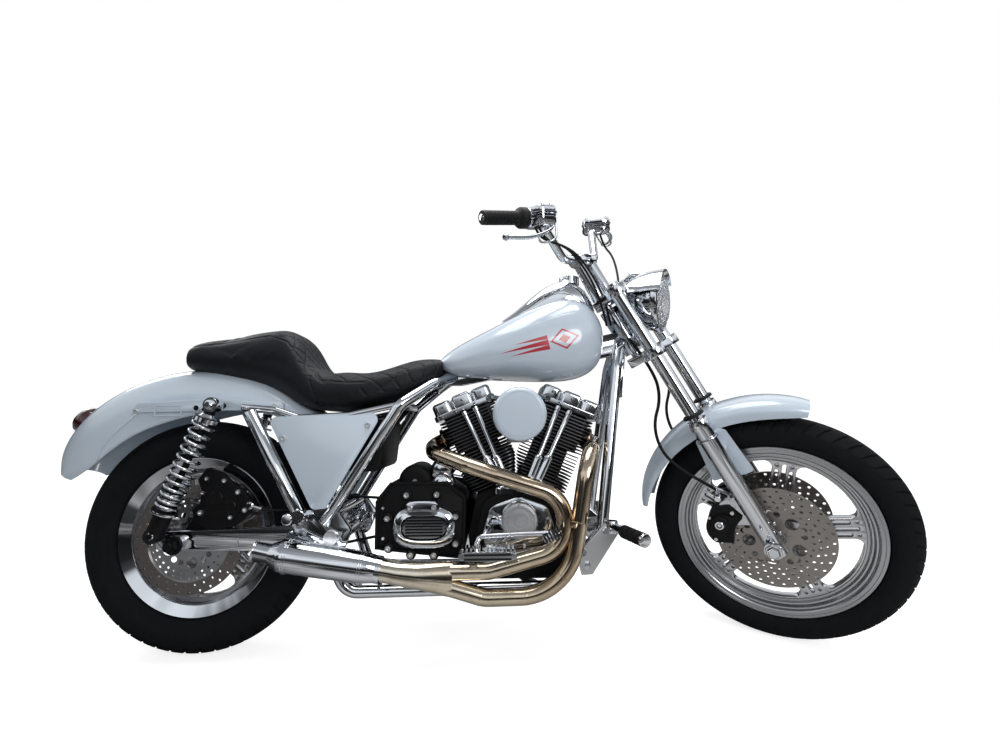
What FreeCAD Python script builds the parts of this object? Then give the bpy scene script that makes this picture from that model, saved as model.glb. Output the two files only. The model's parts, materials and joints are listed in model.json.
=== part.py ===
# Chopper motorcycle at full size, parked on its side stand with the steering turned to the right
# Modelled upright in millimetres: X forward from the rear axle, Y to the left, Z up from the ground
# Each piece is then steered, leaned and set on the floor, with the origin under the middle of its box

import FreeCAD, Part
import math
import os
from FreeCAD import Placement, Rotation, Vector

# Stance
wheelbase = 1643.0
lean_deg = 10.5             # to the left, on the side stand
rake_deg = 30.0             # steering axis, from the vertical
fork_offset = 75.0          # fork legs ahead of the steering axis
steer_lock_deg = 36.0       # to each side, and parked at the right-hand stop

# Wheels
rear_radius = 320.0
rear_width = 130.0
rear_bead_radius = 203.0
rear_rim_width = 80.0       # between the flanges
front_radius = 331.0
front_width = 100.0
front_bead_radius = 241.3
front_rim_width = 63.5
rim_flange_height = 14.5
rim_flange_thickness = 6.0
rim_wall = 10.0
rim_drop = 13.0             # of the well's floor below the bead seats
spoke_count = 5
front_spoke_start_deg = 12.0
rear_spoke_start_deg = 30.0
front_axle_radius = 10.0
rear_axle_radius = 12.0
running_clearance = 0.3
front_rotor_radius = 146.0
front_rotor_inner_face = 58.0
rear_rotor_radius = 146.0
rear_rotor_inner_face = 76.0
rotor_thickness = 5.0
rotor_gap = 5.0             # between a rotor and its caliper
caliper_outer_face = 75.0
pulley_radius = 112.0
pulley_width = 26.0
pulley_inner_face = 70.0
belt_clearance = 5.0
belt_thickness = 5.0
output_pulley_radius = 44.0

# Fork and steering head
leg_spacing = 194.0
fork_tube_radius = 19.5
slider_radius = 25.0
slider_top = 388.0          # heights along the fork, from the axle
lower_clamp_height = 607.0
upper_clamp_height = 808.0
clamp_thickness = 28.0
head_tube_radius = 30.0
stem_radius = 14.0
head_gap = 11.0             # between the head tube and each clamp

# Frame
frame_tube_radius = 16.0
rail_height = 192.0
pivot_x = 405.0
pivot_z = 335.0
pivot_half_width = 132.0
plate_thickness = 18.0
side_tube_offset = 142.0    # rear frame tubes, from the middle plane
arm_offset = 112.0          # swingarm beams, from the middle plane
arm_width = 28.0
arm_height = 48.0

# Engine
crank_x = 895.0
crank_z = 315.0
vee_half_angle_deg = 22.5
deck_height = 150.0         # distances from the crank along a cylinder
barrel_top = 272.0
head_top = 378.0
rocker_top = 430.0
rocker_half_length = 92.0
rocker_half_width = 80.0
rocker_plate = 16.0
port_height = head_top - 53.0    # intake and exhaust ports, from the crank
port_reach = 88.0
case_half_width = 78.0
primary_inner = 99.0
primary_outer = 172.0
output_x = 548.0
output_z = 350.0
fin_half_length = 84.0
fin_half_width = 68.0
fin_thickness = 3.2
fin_pitch = 9.5
bore_wall_radius = 54.0

# Exhaust
pipe_radius = 22.0
collector_radius = 29.0
muffler_radius = 41.0
tip_radius = 24.0

# Side stand
stand_hinge = Vector(872, 156, 172)
stand_reach = Vector(88, 176, 0)   # foot from hinge, seen from above
stand_folded = Vector(-218, 8, -8)
stand_leg_radius = 10.0
stand_eye_radius = 15.0
stand_eye_half = 10.5
stand_pin_radius = 7.0


def add(point, x=0.0, y=0.0, z=0.0):
    return Vector(point.x + x, point.y + y, point.z + z)


def smooth_edges(points, radii, closed):
    # straight runs joined by tangent arcs at the corners that have a radius
    count = len(points)
    starts = []
    ends = []
    arcs = []
    for i in range(count):
        corner = points[i]
        inner = closed or 0 < i < count - 1
        if not inner or radii[i] <= 0:
            starts.append(corner)
            ends.append(corner)
            arcs.append(None)
            continue
        back = (points[i - 1] - corner).normalize()
        ahead = (points[(i + 1) % count] - corner).normalize()
        half_turn = back.getAngle(ahead) / 2
        reach = radii[i] / math.tan(half_turn)
        middle = (back + ahead).normalize()
        centre = corner + middle * (radii[i] / math.sin(half_turn))
        starts.append(corner + back * reach)
        ends.append(corner + ahead * reach)
        arcs.append(Part.Arc(starts[i], centre - middle * radii[i], ends[i]).toShape())
    edges = []
    last = count if closed else count - 1
    for i in range(last):
        if arcs[i]:
            edges.append(arcs[i])
        following = starts[(i + 1) % count]
        if (following - ends[i]).Length > 0.001:
            edges.append(Part.LineSegment(ends[i], following).toShape())
    return edges


def tube(points, radius, bend):
    # a round bar along straight runs and tangent bends, all alike or each with its own radius
    vectors = [Vector(*p) for p in points]
    bends = bend if isinstance(bend, list) else [bend] * len(vectors)
    path = Part.Wire(smooth_edges(vectors, bends, False))
    start = vectors[0]
    profile = Part.Wire(Part.makeCircle(radius, start, vectors[1] - start))
    return path.makePipeShell([profile], True, True)


def rod(start, end, radius):
    return Part.makeCylinder(radius, (end - start).Length, start, end - start)


def taper(start, end, first_radius, last_radius):
    return Part.makeCone(first_radius, last_radius, (end - start).Length, start, end - start)


def outline_wire(outline, y):
    # outline is a list of x, z and corner radius
    points = [Vector(x, y, z) for x, z, _ in outline]
    return Part.Wire(smooth_edges(points, [r for _, _, r in outline], True))


def plate(outline, y_low, y_high):
    return Part.Face(outline_wire(outline, y_low)).extrude(Vector(0, y_high - y_low, 0))


def loop_wire(rear, rear_arc, front, front_arc, y):
    # two arcs round a rear and a front centre, joined by their outer tangents
    gap = front - rear
    heading = math.degrees(math.atan2(gap.z, gap.x))
    spread = math.degrees(math.acos((rear_arc - front_arc) / gap.Length))
    arcs = []
    for centre, radius, first, last in ((rear, rear_arc, spread, 360 - spread), (front, front_arc, -spread, spread)):
        points = []
        for share in (0, 0.5, 1):
            angle = math.radians(heading + first + (last - first) * share)
            points.append(Vector(centre.x + math.cos(angle) * radius, y, centre.z + math.sin(angle) * radius))
        arcs.append(points)
    back, ahead = arcs
    return Part.Wire([
        Part.Arc(*back).toShape(), Part.LineSegment(back[2], ahead[0]).toShape(),
        Part.Arc(*ahead).toShape(), Part.LineSegment(ahead[2], back[0]).toShape()])


def turned(profile, centre, axis=Vector(0, 1, 0)):
    # profile is a list of distance along the axis, and radius
    across = axis.cross(Vector(0, 0, 1)) if abs(axis.z) < 0.9 else Vector(1, 0, 0)
    across.normalize()
    points = [centre + axis * a + across * r for a, r in profile]
    points.append(points[0])
    return Part.Face(Part.makePolygon(points)).revolve(centre, axis, 360)


def mirrored(shape):
    return shape.mirror(Vector(0, 0, 0), Vector(0, 1, 0))


def both(shape):
    return [shape, mirrored(shape)]


def joined(shapes):
    return shapes[0].multiFuse(shapes[1:]).removeSplitter()


def together(shapes):
    return Part.makeCompound(shapes)


def spun(shape, centre, axis, count, start_deg=0.0):
    copies = []
    for i in range(count):
        copy = shape.copy()
        copy.rotate(centre, axis, start_deg + 360.0 * i / count)
        copies.append(copy)
    return copies


def oval_wire(x, half_width, low, high, power, middle=0.5):
    # a closed smooth section across the machine, widest at the given share of its height
    points = []
    count = 16
    wide = low + (high - low) * middle
    for i in range(count):
        angle = 2 * math.pi * i / count
        side = math.copysign(abs(math.cos(angle)) ** (2 / power), math.cos(angle))
        rise = math.copysign(abs(math.sin(angle)) ** (2 / power), math.sin(angle))
        tall = (high - wide) if rise > 0 else (wide - low)
        points.append(Vector(x, half_width * side, wide + tall * rise))
    curve = Part.BSplineCurve()
    curve.interpolate(points, PeriodicFlag=True)
    return Part.Wire(curve.toShape())


# Steering geometry
rear_axle = Vector(0, 0, rear_radius)
front_axle = Vector(wheelbase, 0, front_radius)
rake = math.radians(rake_deg)
steer_axis = Vector(-math.sin(rake), 0, math.cos(rake))
fork_forward = Vector(math.cos(rake), 0, math.sin(rake))
steer_point = front_axle - fork_forward * fork_offset


def fork_point(forward, y, height):
    # a point given across and along the fork, straight ahead
    return steer_point + fork_forward * forward + Vector(0, y, 0) + steer_axis * height


def rim_profile(bead_radius, rim_width):
    half = rim_width / 2
    lip = bead_radius + rim_flange_height
    outer = half + rim_flange_thickness
    well = half * 0.42
    left = [
        (-outer, lip), (-half, lip), (-half, bead_radius),
        (-well - 6, bead_radius), (-well, bead_radius - rim_drop)]
    right = [(-a, r) for a, r in reversed(left)]
    inner = [
        (outer, bead_radius + 1), (half - 6, bead_radius - rim_wall),
        (well + 2, bead_radius - rim_drop - rim_wall)]
    back = [(-a, r) for a, r in reversed(inner)]
    return left + right + inner + back


def tyre_profile(radius, width, bead_radius, rim_width):
    half = width / 2
    seat = rim_width / 2 - running_clearance
    height = radius - bead_radius
    lip = bead_radius + rim_flange_height
    side = [
        (seat, bead_radius + running_clearance),
        (seat, lip + 0.6),
        (half * 0.91, bead_radius + height * 0.29),
        (half, bead_radius + height * 0.52),
        (half * 0.93, bead_radius + height * 0.745),
        (half * 0.70, radius - height * 0.105),
        (half * 0.38, radius - height * 0.022)]
    left = [(-a, r) for a, r in side]
    return left + [(0, radius)] + list(reversed(side))


rear_tyre_section = tyre_profile(rear_radius, rear_width, rear_bead_radius, rear_rim_width)
front_tyre_section = tyre_profile(front_radius, front_width, front_bead_radius, front_rim_width)


def spoke(hub_radius, rim_radius, half_thickness):
    # a double spoke, flared at the rim, with a slot down its middle
    root = hub_radius - 6
    tip = rim_radius + 6
    outline = [
        (root, -21, 0), (hub_radius + 40, -22, 25), (rim_radius - 45, -24, 25), (tip, -40, 0),
        (tip, 40, 0), (rim_radius - 45, 24, 25), (hub_radius + 40, 22, 25), (root, 21, 0)]
    bar = plate(outline, -half_thickness, half_thickness)
    slot_start = hub_radius + 50
    slot_end = rim_radius - 26
    slot = plate(
        [(slot_start, -5, 4.4), (slot_end, -6, 5.4), (slot_end, 6, 5.4), (slot_start, 5, 4.4)],
        -half_thickness - 1, half_thickness + 1)
    return bar.cut(slot)


def cast_rim(centre, bead_radius, rim_width, hub_radius, hub_ends, half_thickness, start_deg, axle_radius):
    hub_low, hub_high = hub_ends
    window = bead_radius - 34
    barrel = turned(rim_profile(bead_radius, rim_width), centre)
    web_edge = bead_radius - rim_drop - rim_wall / 2
    web_profile = [
        (-half_thickness, window), (half_thickness, window), (half_thickness, web_edge), (-half_thickness, web_edge)]
    web = turned(web_profile, centre)
    bore = axle_radius + running_clearance
    hub = turned([(hub_low, bore), (hub_high, bore), (hub_high, hub_radius), (hub_low, hub_radius)], centre)
    arm = spoke(hub_radius, window, half_thickness)
    arm.translate(centre)
    arms = spun(arm, centre, Vector(0, -1, 0), spoke_count, start_deg)
    return joined([barrel, web, hub] + arms)


def disc(centre, inner_face, side, radius, bore, hole_radius, hole_distance, start_deg):
    # a brake rotor with a ring of larger holes
    low = inner_face * side
    high = (inner_face + rotor_thickness) * side
    plain = turned([(low, bore), (high, bore), (high, radius), (low, radius)], centre)
    hole = Part.makeCylinder(hole_radius, rotor_thickness * 3, Vector(hole_distance, -rotor_thickness * 1.5, 0),
                             Vector(0, 1, 0))
    hole.translate(add(centre, y=(low + high) / 2))
    return plain.cut(spun(hole, centre, Vector(0, -1, 0), spoke_count, start_deg))


def rear_wheel():
    hub_radius = 42.0
    hub_ends = (running_clearance - rear_rotor_inner_face, pulley_inner_face - running_clearance)
    rim = cast_rim(rear_axle, rear_bead_radius, rear_rim_width, hub_radius, hub_ends, 14.0,
                   rear_spoke_start_deg, rear_axle_radius)
    tyre = turned(rear_tyre_section, rear_axle)
    rotor = disc(rear_axle, rear_rotor_inner_face, -1, rear_rotor_radius, rear_axle_radius + 6, 22.0, 66.0, 20.0)
    low = pulley_inner_face
    high = pulley_inner_face + pulley_width
    bore = rear_axle_radius + 6
    pulley = turned([(low, bore), (high, bore), (high, 60), (high - 22, 66), (high - 22, 98),
                     (high, 100), (high, pulley_radius), (low, pulley_radius)], rear_axle)
    return {"rear_tyre": tyre, "rear_rim": rim, "rear_rotor": rotor, "rear_pulley": pulley}


def front_wheel():
    hub_radius = 34.0
    hub_half = front_rotor_inner_face - running_clearance
    rim = cast_rim(front_axle, front_bead_radius, front_rim_width, hub_radius, (-hub_half, hub_half), 12.0,
                   front_spoke_start_deg, front_axle_radius)
    tyre = turned(front_tyre_section, front_axle)
    rotors = []
    for side in (-1, 1):
        rotors.append(disc(front_axle, front_rotor_inner_face, side, front_rotor_radius,
                           front_axle_radius + 6, 17.0, 68.0, 58.0))
    return {"front_tyre": tyre, "front_rim": rim, "front_rotors": together(rotors)}


def fork():
    half = leg_spacing / 2
    tubes = []
    sliders = []
    for side in (-1, 1):
        y = half * side
        foot = fork_point(fork_offset, y, -26)
        shoulder = fork_point(fork_offset, y, slider_top)
        tubes.append(rod(fork_point(fork_offset, y, slider_top + 1), fork_point(fork_offset, y, upper_clamp_height + 24),
                         fork_tube_radius))
        slider = joined([
            rod(foot, shoulder, slider_radius),
            rod(shoulder - steer_axis * 24, shoulder, slider_radius + 3)])
        bore = rod(front_axle - Vector(0, 200, 0), front_axle + Vector(0, 200, 0), front_axle_radius + 0.1)
        # the lug that carries the caliper, against the caliper's outer face
        lug = [fork_point(forward, 0, height) for forward, height in
               ((fork_offset - 6, 56), (fork_offset - 74, 82), (fork_offset - 88, 112), (fork_offset - 74, 146),
                (fork_offset - 6, 168))]
        inner = side * caliper_outer_face
        outer = side * (caliper_outer_face + 12)
        ear = plate([(p.x, p.z, 8 if 0 < i < 4 else 0) for i, p in enumerate(lug)], min(inner, outer), max(inner, outer))
        sliders.append(joined([slider, ear]).cut(bore))
    axle_half = half + slider_radius + 8
    axle = joined([
        rod(front_axle - Vector(0, axle_half, 0), front_axle + Vector(0, axle_half, 0), front_axle_radius),
        rod(front_axle - Vector(0, axle_half + 6, 0), front_axle - Vector(0, half + slider_radius + 0.5, 0), 17.0),
        rod(front_axle + Vector(0, half + slider_radius + 0.5, 0), front_axle + Vector(0, axle_half + 6, 0), 17.0)])
    clamps = []
    for height in (lower_clamp_height, upper_clamp_height):
        clamps.append(triple_clamp(height))
    stem = rod(fork_point(0, 0, lower_clamp_height), fork_point(0, 0, upper_clamp_height), stem_radius)
    nut = rod(fork_point(0, 0, upper_clamp_height), fork_point(0, 0, upper_clamp_height + 26), 20.0)
    return {
        "fork_tubes": together(tubes), "fork_sliders": together(sliders), "front_axle": axle,
        "triple_clamps": joined(clamps + [stem, nut])}


def triple_clamp(height):
    half = leg_spacing / 2
    low = height - clamp_thickness / 2
    high = height + clamp_thickness / 2
    bosses = [rod(fork_point(fork_offset, side * half, low), fork_point(fork_offset, side * half, high),
                  fork_tube_radius + 13) for side in (-1, 1)]
    bosses.append(rod(fork_point(0, 0, low), fork_point(0, 0, high), 34))
    corners = [(-26, -30), (45, -half - 8), (fork_offset + 22, -half + 4), (fork_offset + 8, 0),
               (fork_offset + 22, half - 4), (45, half + 8), (-26, 30)]
    points = [fork_point(f, y, low + 3) for f, y in corners]
    points.append(points[0])
    web = Part.Face(Part.makePolygon(points)).extrude(steer_axis * (clamp_thickness - 6))
    body = joined(bosses + [web])
    holes = [rod(fork_point(fork_offset, side * half, low - 1), fork_point(fork_offset, side * half, high + 1),
                 fork_tube_radius) for side in (-1, 1)]
    return body.cut(holes)


def arch(centre, angle_deg, crown, lip, half_width):
    # a domed crown with two side skirts, across the wheel at one angle
    angle = math.radians(angle_deg)
    out = Vector(math.cos(angle), 0, math.sin(angle))
    drop = crown - lip
    side = [(half_width, lip), (half_width, lip + drop * 0.52), (half_width * 0.74, crown - drop * 0.13),
            (half_width * 0.34, crown - drop * 0.02)]
    points = [(-y, r) for y, r in side] + list(reversed(side))
    curve = Part.BSplineCurve()
    curve.interpolate([centre + out * r + Vector(0, y, 0) for y, r in points])
    return curve


def arch_section(centre, angle_deg, crown, lip, half_width, wall):
    outer = arch(centre, angle_deg, crown, lip, half_width)
    inner = arch(centre, angle_deg, crown - wall, lip, half_width - wall)
    return Part.Wire([
        outer.toShape(), Part.LineSegment(outer.EndPoint, inner.EndPoint).toShape(),
        inner.toShape(), Part.LineSegment(inner.StartPoint, outer.StartPoint).toShape()])


def arch_room(centre, stations, clearance):
    # the space that a fender takes up, closed across its lips
    wires = []
    for angle_deg, crown, lip, half_width in stations:
        outer = arch(centre, angle_deg, crown + clearance, lip, half_width + clearance)
        closing = Part.LineSegment(outer.EndPoint, outer.StartPoint)
        wires.append(Part.Wire([outer.toShape(), closing.toShape()]))
    return Part.makeLoft(wires, True, False)


def fender(centre, stations, wall):
    wires = [arch_section(centre, *station, wall) for station in stations]
    return Part.makeLoft(wires, True, False)


def front_fender():
    # angle about the axle, crown radius, lip radius, half width
    stations = [
        (79, 383, 352, 46), (90, 388, 342, 60), (110, 389, 337, 66), (130, 388, 335, 67),
        (150, 384, 336, 66), (165, 376, 340, 61), (175, 366, 345, 50)]
    parts = [fender(front_axle, stations, 3.0)]
    for side in (-1, 1):
        # a flat bracket down the back of the slider, and the boss it is bolted to
        bracket = [(1443, 595, 6), (1500, 640, 6), (1520, 636, 6), (1592, 528, 6), (1572, 514, 6), (1512, 492, 6),
                   (1490, 482, 6)]
        parts.append(plate(bracket, min(side * 66.5, side * 71.0), max(side * 66.5, side * 71.0)))
        for height in (255, 330):
            parts.append(rod(fork_point(fork_offset, side * 69, height), fork_point(fork_offset, side * 84, height), 10))
    return joined(parts)


rear_fender_stations = [
    (42, 470, 420, 97), (60, 470, 395, 99), (80, 470, 352, 100), (100, 471, 326, 101),
    (120, 472, 322, 101), (135, 470, 326, 97), (146, 458, 342, 86), (155, 431, 380, 64)]


def rear_fender():
    return fender(rear_axle, rear_fender_stations, 3.5)


def frame():
    r = frame_tube_radius
    parts = []
    head_low = lower_clamp_height + clamp_thickness / 2 + head_gap
    head_high = upper_clamp_height - clamp_thickness / 2 - head_gap
    head = rod(fork_point(0, 0, head_low), fork_point(0, 0, head_high), head_tube_radius)
    head_middle = (head_low + head_high) / 2
    ridge = fork_point(8, 0, head_middle - 6)
    throat = fork_point(-63, 0, head_middle - 52)
    yoke = fork_point(-36, 0, head_middle - 30)
    backbone = plate([(ridge.x, ridge.z, 0), (throat.x, throat.z, 0), (735, 742, 10), (690, 742, 10), (690, 786, 10),
                      (735, 795, 10)], -20, 20)
    parts += [head, backbone]
    for side in (-1, 1):
        out = side * side_tube_offset
        rail = [(yoke.x, side * 22, yoke.z), (yoke.x - 18, side * 52, yoke.z - 72), (1124, side * 92, 334),
                (1092, side * 98, 300), (978, side * 106, rail_height), (440, side * 128, rail_height), (396, out, 300)]
        post = [(712, side * 14, 766), (660, side * 90, 740), (578, out, 680), (385, out, 370)]
        strut = [(176, out, 662), (330, out, 372)]
        seat_rail = [(150, side * 126, 676), (240, side * 130, 668), (306, side * 136, 646), (440, side * 138, 652),
                     (574, out, 680)]
        parts.append(tube(rail, r, [0, 60, 50, 50, 60, 50, 0]))
        parts.append(tube(post, r, 40))
        parts.append(tube(strut, r + 1.5, 0))
        parts.append(tube(seat_rail, 9, 40))
        inner = side * pivot_half_width
        outer = side * (pivot_half_width + plate_thickness)
        pivot_plate = plate([(300, 400, 16), (412, 412, 16), (456, 352, 20), (430, 286, 20), (350, 290, 20),
                             (308, 340, 20)], inner, outer)
        parts.append(pivot_plate)
    for x, z, half in ((1104, 312, 96), (450, rail_height, 124), (574, 680, 138), (405, 392, 138)):
        parts.append(rod(Vector(x, -half, z), Vector(x, half, z), r - 3))
    gusset = plate([(yoke.x + 14, yoke.z, 8), (1206, 700, 4), (1190, 700, 4), (yoke.x - 22, yoke.z - 22, 8)], -46, 46)
    mount = plate([(1130, 374, 6), (1046, 352, 6), (1046, 332, 6), (1124, 326, 6)], -84, 84)
    parts += [gusset, mount]
    body = joined(parts)
    bolt = rod(Vector(pivot_x, -200, pivot_z), Vector(pivot_x, 200, pivot_z), rear_axle_radius + 0.1)
    bore = rod(fork_point(0, 0, head_low - 20), fork_point(0, 0, head_high + 20), stem_radius + 1.0)
    return body.cut([bolt, bore])


def swingarm():
    z_low = rear_radius - arm_height / 2 + 6
    parts = []
    for side in (-1, 1):
        low = side * (arm_offset - arm_width / 2)
        high = side * (arm_offset + arm_width / 2)
        if side < 0:
            low, high = high, low
        outline = [(-62, z_low + 2, 14), (-62, z_low + 48, 14), (170, z_low + 52, 30), (318, z_low + 64, 30),
                   (388, z_low + 58, 18), (388, z_low + 12, 18), (178, z_low - 2, 30)]
        parts.append(plate(outline, low, high))
    sleeve_half = pivot_half_width - running_clearance
    sleeve = rod(Vector(pivot_x, -sleeve_half, pivot_z), Vector(pivot_x, sleeve_half, pivot_z), 26)
    bridge = plate([(352, 362, 8), (405, 362, 0), (405, 310, 0), (352, 310, 8)], -arm_offset, arm_offset)
    body = joined(parts + [sleeve, bridge])
    pivot_bore = rod(Vector(pivot_x, -200, pivot_z), Vector(pivot_x, 200, pivot_z), rear_axle_radius + 0.1)
    axle_bore = rod(add(rear_axle, y=-200), add(rear_axle, y=200), rear_axle_radius + 0.1)
    return body.cut([pivot_bore, axle_bore])


def axles():
    outer = arm_offset + arm_width / 2
    rear = joined([
        rod(add(rear_axle, y=-outer - 22), add(rear_axle, y=outer + 22), rear_axle_radius),
        rod(add(rear_axle, y=-outer - 14), add(rear_axle, y=-outer - 0.4), 20),
        rod(add(rear_axle, y=outer + 0.4), add(rear_axle, y=outer + 14), 20)])
    pivot = pivot_half_width + plate_thickness
    bolt = joined([
        rod(Vector(pivot_x, -pivot - 6, pivot_z), Vector(pivot_x, pivot + 6, pivot_z), rear_axle_radius),
        rod(Vector(pivot_x, -pivot - 8, pivot_z), Vector(pivot_x, -pivot, pivot_z), 18),
        rod(Vector(pivot_x, pivot, pivot_z), Vector(pivot_x, pivot + 8, pivot_z), 18)])
    return {"rear_axle": rear, "swingarm_pivot": bolt}


def shock():
    # right-hand damper with its coil spring, between the swingarm and the fender strut
    y = -164.0
    top = Vector(92, y, 681)
    bottom = Vector(-38, y, 350)
    up = (top - bottom).normalize()
    long = (top - bottom).Length
    body = joined([
        rod(Vector(bottom.x, y - 15, bottom.z), Vector(bottom.x, y + 15, bottom.z), 17),
        rod(bottom + up * 12, bottom + up * 120, 22),
        rod(bottom + up * 60, bottom + up * 68, 31),
        rod(bottom + up * 118, bottom + up * (long - 30), 8),
        rod(bottom + up * (long - 46), bottom + up * (long - 34), 30),
        rod(bottom + up * (long - 40), bottom + up * (long - 12), 14),
        rod(Vector(top.x, y - 15, top.z), Vector(top.x, y + 15, top.z), 17)])
    spring_low = 69.0
    spring_high = long - 47.0
    coil_radius = 27.0
    turns = 11
    helix = Part.makeHelix((spring_high - spring_low - 9) / turns, spring_high - spring_low - 9, coil_radius)
    section = Part.makePolygon([Vector(coil_radius + 4.2 * math.cos(math.radians(60 * i)), 0,
                                       4.2 * math.sin(math.radians(60 * i))) for i in range(7)])
    spring = Part.Wire(helix).makePipeShell([section], True, True)
    spring.Placement = Placement(bottom + up * (spring_low + 4.5), Rotation(Vector(0, 0, 1), up))
    pins = []
    for end in (top, bottom):
        pins.append(rod(Vector(end.x, y - 22, end.z), Vector(end.x, -arm_offset + 2, end.z), 7))
    return body, spring, pins


def shock_absorbers():
    body, spring, pins = shock()
    lower = joined([body] + pins)
    return {"shock_absorbers": together(both(lower)), "shock_springs": together(both(spring))}


def cylinder_axes():
    for sign in (-1, 1):
        tilt = math.radians(vee_half_angle_deg) * sign
        yield sign, Vector(math.sin(tilt), 0, math.cos(tilt)), Vector(math.cos(tilt), 0, -math.sin(tilt))


def engine():
    crank = Vector(crank_x, 0, crank_z)
    half = 60.0
    deck = []
    for sign, along, across in cylinder_axes():
        centre = crank + along * deck_height
        deck.append((centre - across * half, centre + across * half))
    rear_deck, front_deck = deck
    case = plate([
        (770, 205, 34), (1012, 205, 34), (1040, 300, 40), (front_deck[1].x, front_deck[1].z, 4),
        (front_deck[0].x + 3, front_deck[0].z, 2), (rear_deck[1].x - 3, rear_deck[1].z, 2),
        (rear_deck[0].x, rear_deck[0].z, 4), (758, 320, 40)], -case_half_width, case_half_width)
    chest = plate([(805, 252, 40), (990, 252, 40), (1012, 330, 40), (985, 415, 40), (930, 446, 20), (860, 446, 20),
                   (800, 415, 40), (782, 330, 40)], -104, 1 - case_half_width)
    oil_filter = rod(Vector(1020, -36, 262), Vector(1092, -36, 262), 36)
    crankcase = joined([case, chest, oil_filter])
    cover = plate([(818, 268, 34), (978, 268, 34), (996, 330, 34), (972, 404, 34), (895, 430, 40), (818, 404, 34),
                   (796, 330, 34)], -122, -104.3)
    point_cover = rod(Vector(crank_x, -150, 372), Vector(crank_x, -120, 372), 46)
    cam_cover = joined([cover, point_cover])
    cylinders = []
    rockers = []
    for sign, along, across in cylinder_axes():
        cylinders.append(finned_cylinder(crank, along, across * sign))
        rockers.append(rocker_box(crank, along, across))
    tubes = []
    for sign in (-1, 1):
        for foot, reach in ((22, 122), (46, 154)):
            base = Vector(crank_x + sign * foot, -90, 447)
            tip = Vector(crank_x + sign * reach, -77, 668 + (14 if foot == 22 else 0))
            tubes.append(joined([rod(base, tip, 8), rod(base, base + (tip - base) * 0.2, 11)]))
    return {
        "crankcase": crankcase, "cam_cover": cam_cover, "cylinders": together(cylinders),
        "rocker_boxes": together(rockers), "pushrod_tubes": together(tubes)}


def finned_cylinder(crank, along, across):
    # across points away from the other cylinder, and the inner ends stop at the middle of the vee
    vee = math.tan(math.radians(vee_half_angle_deg))

    def fin(distance, half_length, half_width, thickness):
        centre = crank + along * distance
        inner = min(half_length, distance * vee - 2.5)
        corners = []
        for a, y in ((-inner, -1), (half_length, -1), (half_length, 1), (-inner, 1)):
            corners.append(centre + across * a + Vector(0, y * half_width, 0))
        wire = Part.Wire(smooth_edges(corners, [26] * 4, True))
        return Part.Face(wire).extrude(along * thickness)

    parts = [rod(crank + along * (deck_height + 0.4), crank + along * barrel_top, bore_wall_radius)]
    distance = deck_height + 6
    while distance < barrel_top - fin_pitch / 2:
        parts.append(fin(distance, fin_half_length, fin_half_width, fin_thickness))
        distance += fin_pitch
    head_start = barrel_top - 1
    parts.append(fin(head_start, fin_half_length - 14, fin_half_width - 10, head_top - head_start - 0.4))
    distance = head_start + 2
    while distance < head_top - fin_pitch:
        parts.append(fin(distance, fin_half_length + 3, fin_half_width, fin_thickness))
        distance += fin_pitch
    middle = crank + along * port_height
    parts.append(rod(middle, middle + across * port_reach, pipe_radius + 4))
    parts.append(rod(middle, middle - across * port_reach, pipe_radius - 1.3))
    return joined(parts)


def rocker_box(crank, along, across):
    # a joint plate with three rounded covers on it, the middle one the tallest
    def block(first, last, half_width, low, high, corner, crown):
        points = []
        for a, y in ((first, -1), (last, -1), (last, 1), (first, 1)):
            points.append(crank + along * low + across * a + Vector(0, y * half_width, 0))
        wire = Part.Wire(smooth_edges(points, [corner] * 4, True))
        solid = Part.Face(wire).extrude(along * (high - low))
        top_face = max(solid.Faces, key=lambda f: (f.CenterOfMass - crank).dot(along))
        return solid.makeFillet(crown, top_face.Edges)

    joint = head_top + rocker_plate
    reach = rocker_half_length - 5
    width = rocker_half_width - 5
    third = reach / 3
    return joined([
        block(-rocker_half_length, rocker_half_length, rocker_half_width, head_top, joint, 22, 3),
        block(12 - reach, reach - 12, width - 8, joint - 6, rocker_top - 8, 12, 4),
        block(-reach, -third - 3, width, joint - 6, rocker_top - 3, 16, 10),
        block(3 - third, third - 3, width, joint - 6, rocker_top, 6, 10),
        block(third + 3, reach, width, joint - 6, rocker_top - 3, 16, 10)])


def intake():
    vee = math.radians(vee_half_angle_deg)
    height = crank_z + port_height * math.cos(vee) + port_reach * math.sin(vee)
    gap = port_height * math.sin(vee) - port_reach * math.cos(vee)
    middle = Vector(crank_x, 0, height)
    carburettor = joined([
        rod(add(middle, y=-60), add(middle, y=-171.7), 27),
        rod(add(middle, y=-112, z=-74), add(middle, y=-112), 30),
        rod(add(middle, x=1 - gap), add(middle, x=gap - 1), pipe_radius - 3),
        rod(middle, add(middle, y=-75), 24)])
    centre = middle
    cleaner = turned([(-230, 0), (-230, 60), (-224, 68), (-214, 69), (-178, 69), (-172, 62), (-172, 0)], centre)
    return {"carburettor": carburettor, "air_cleaner": cleaner}


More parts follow.
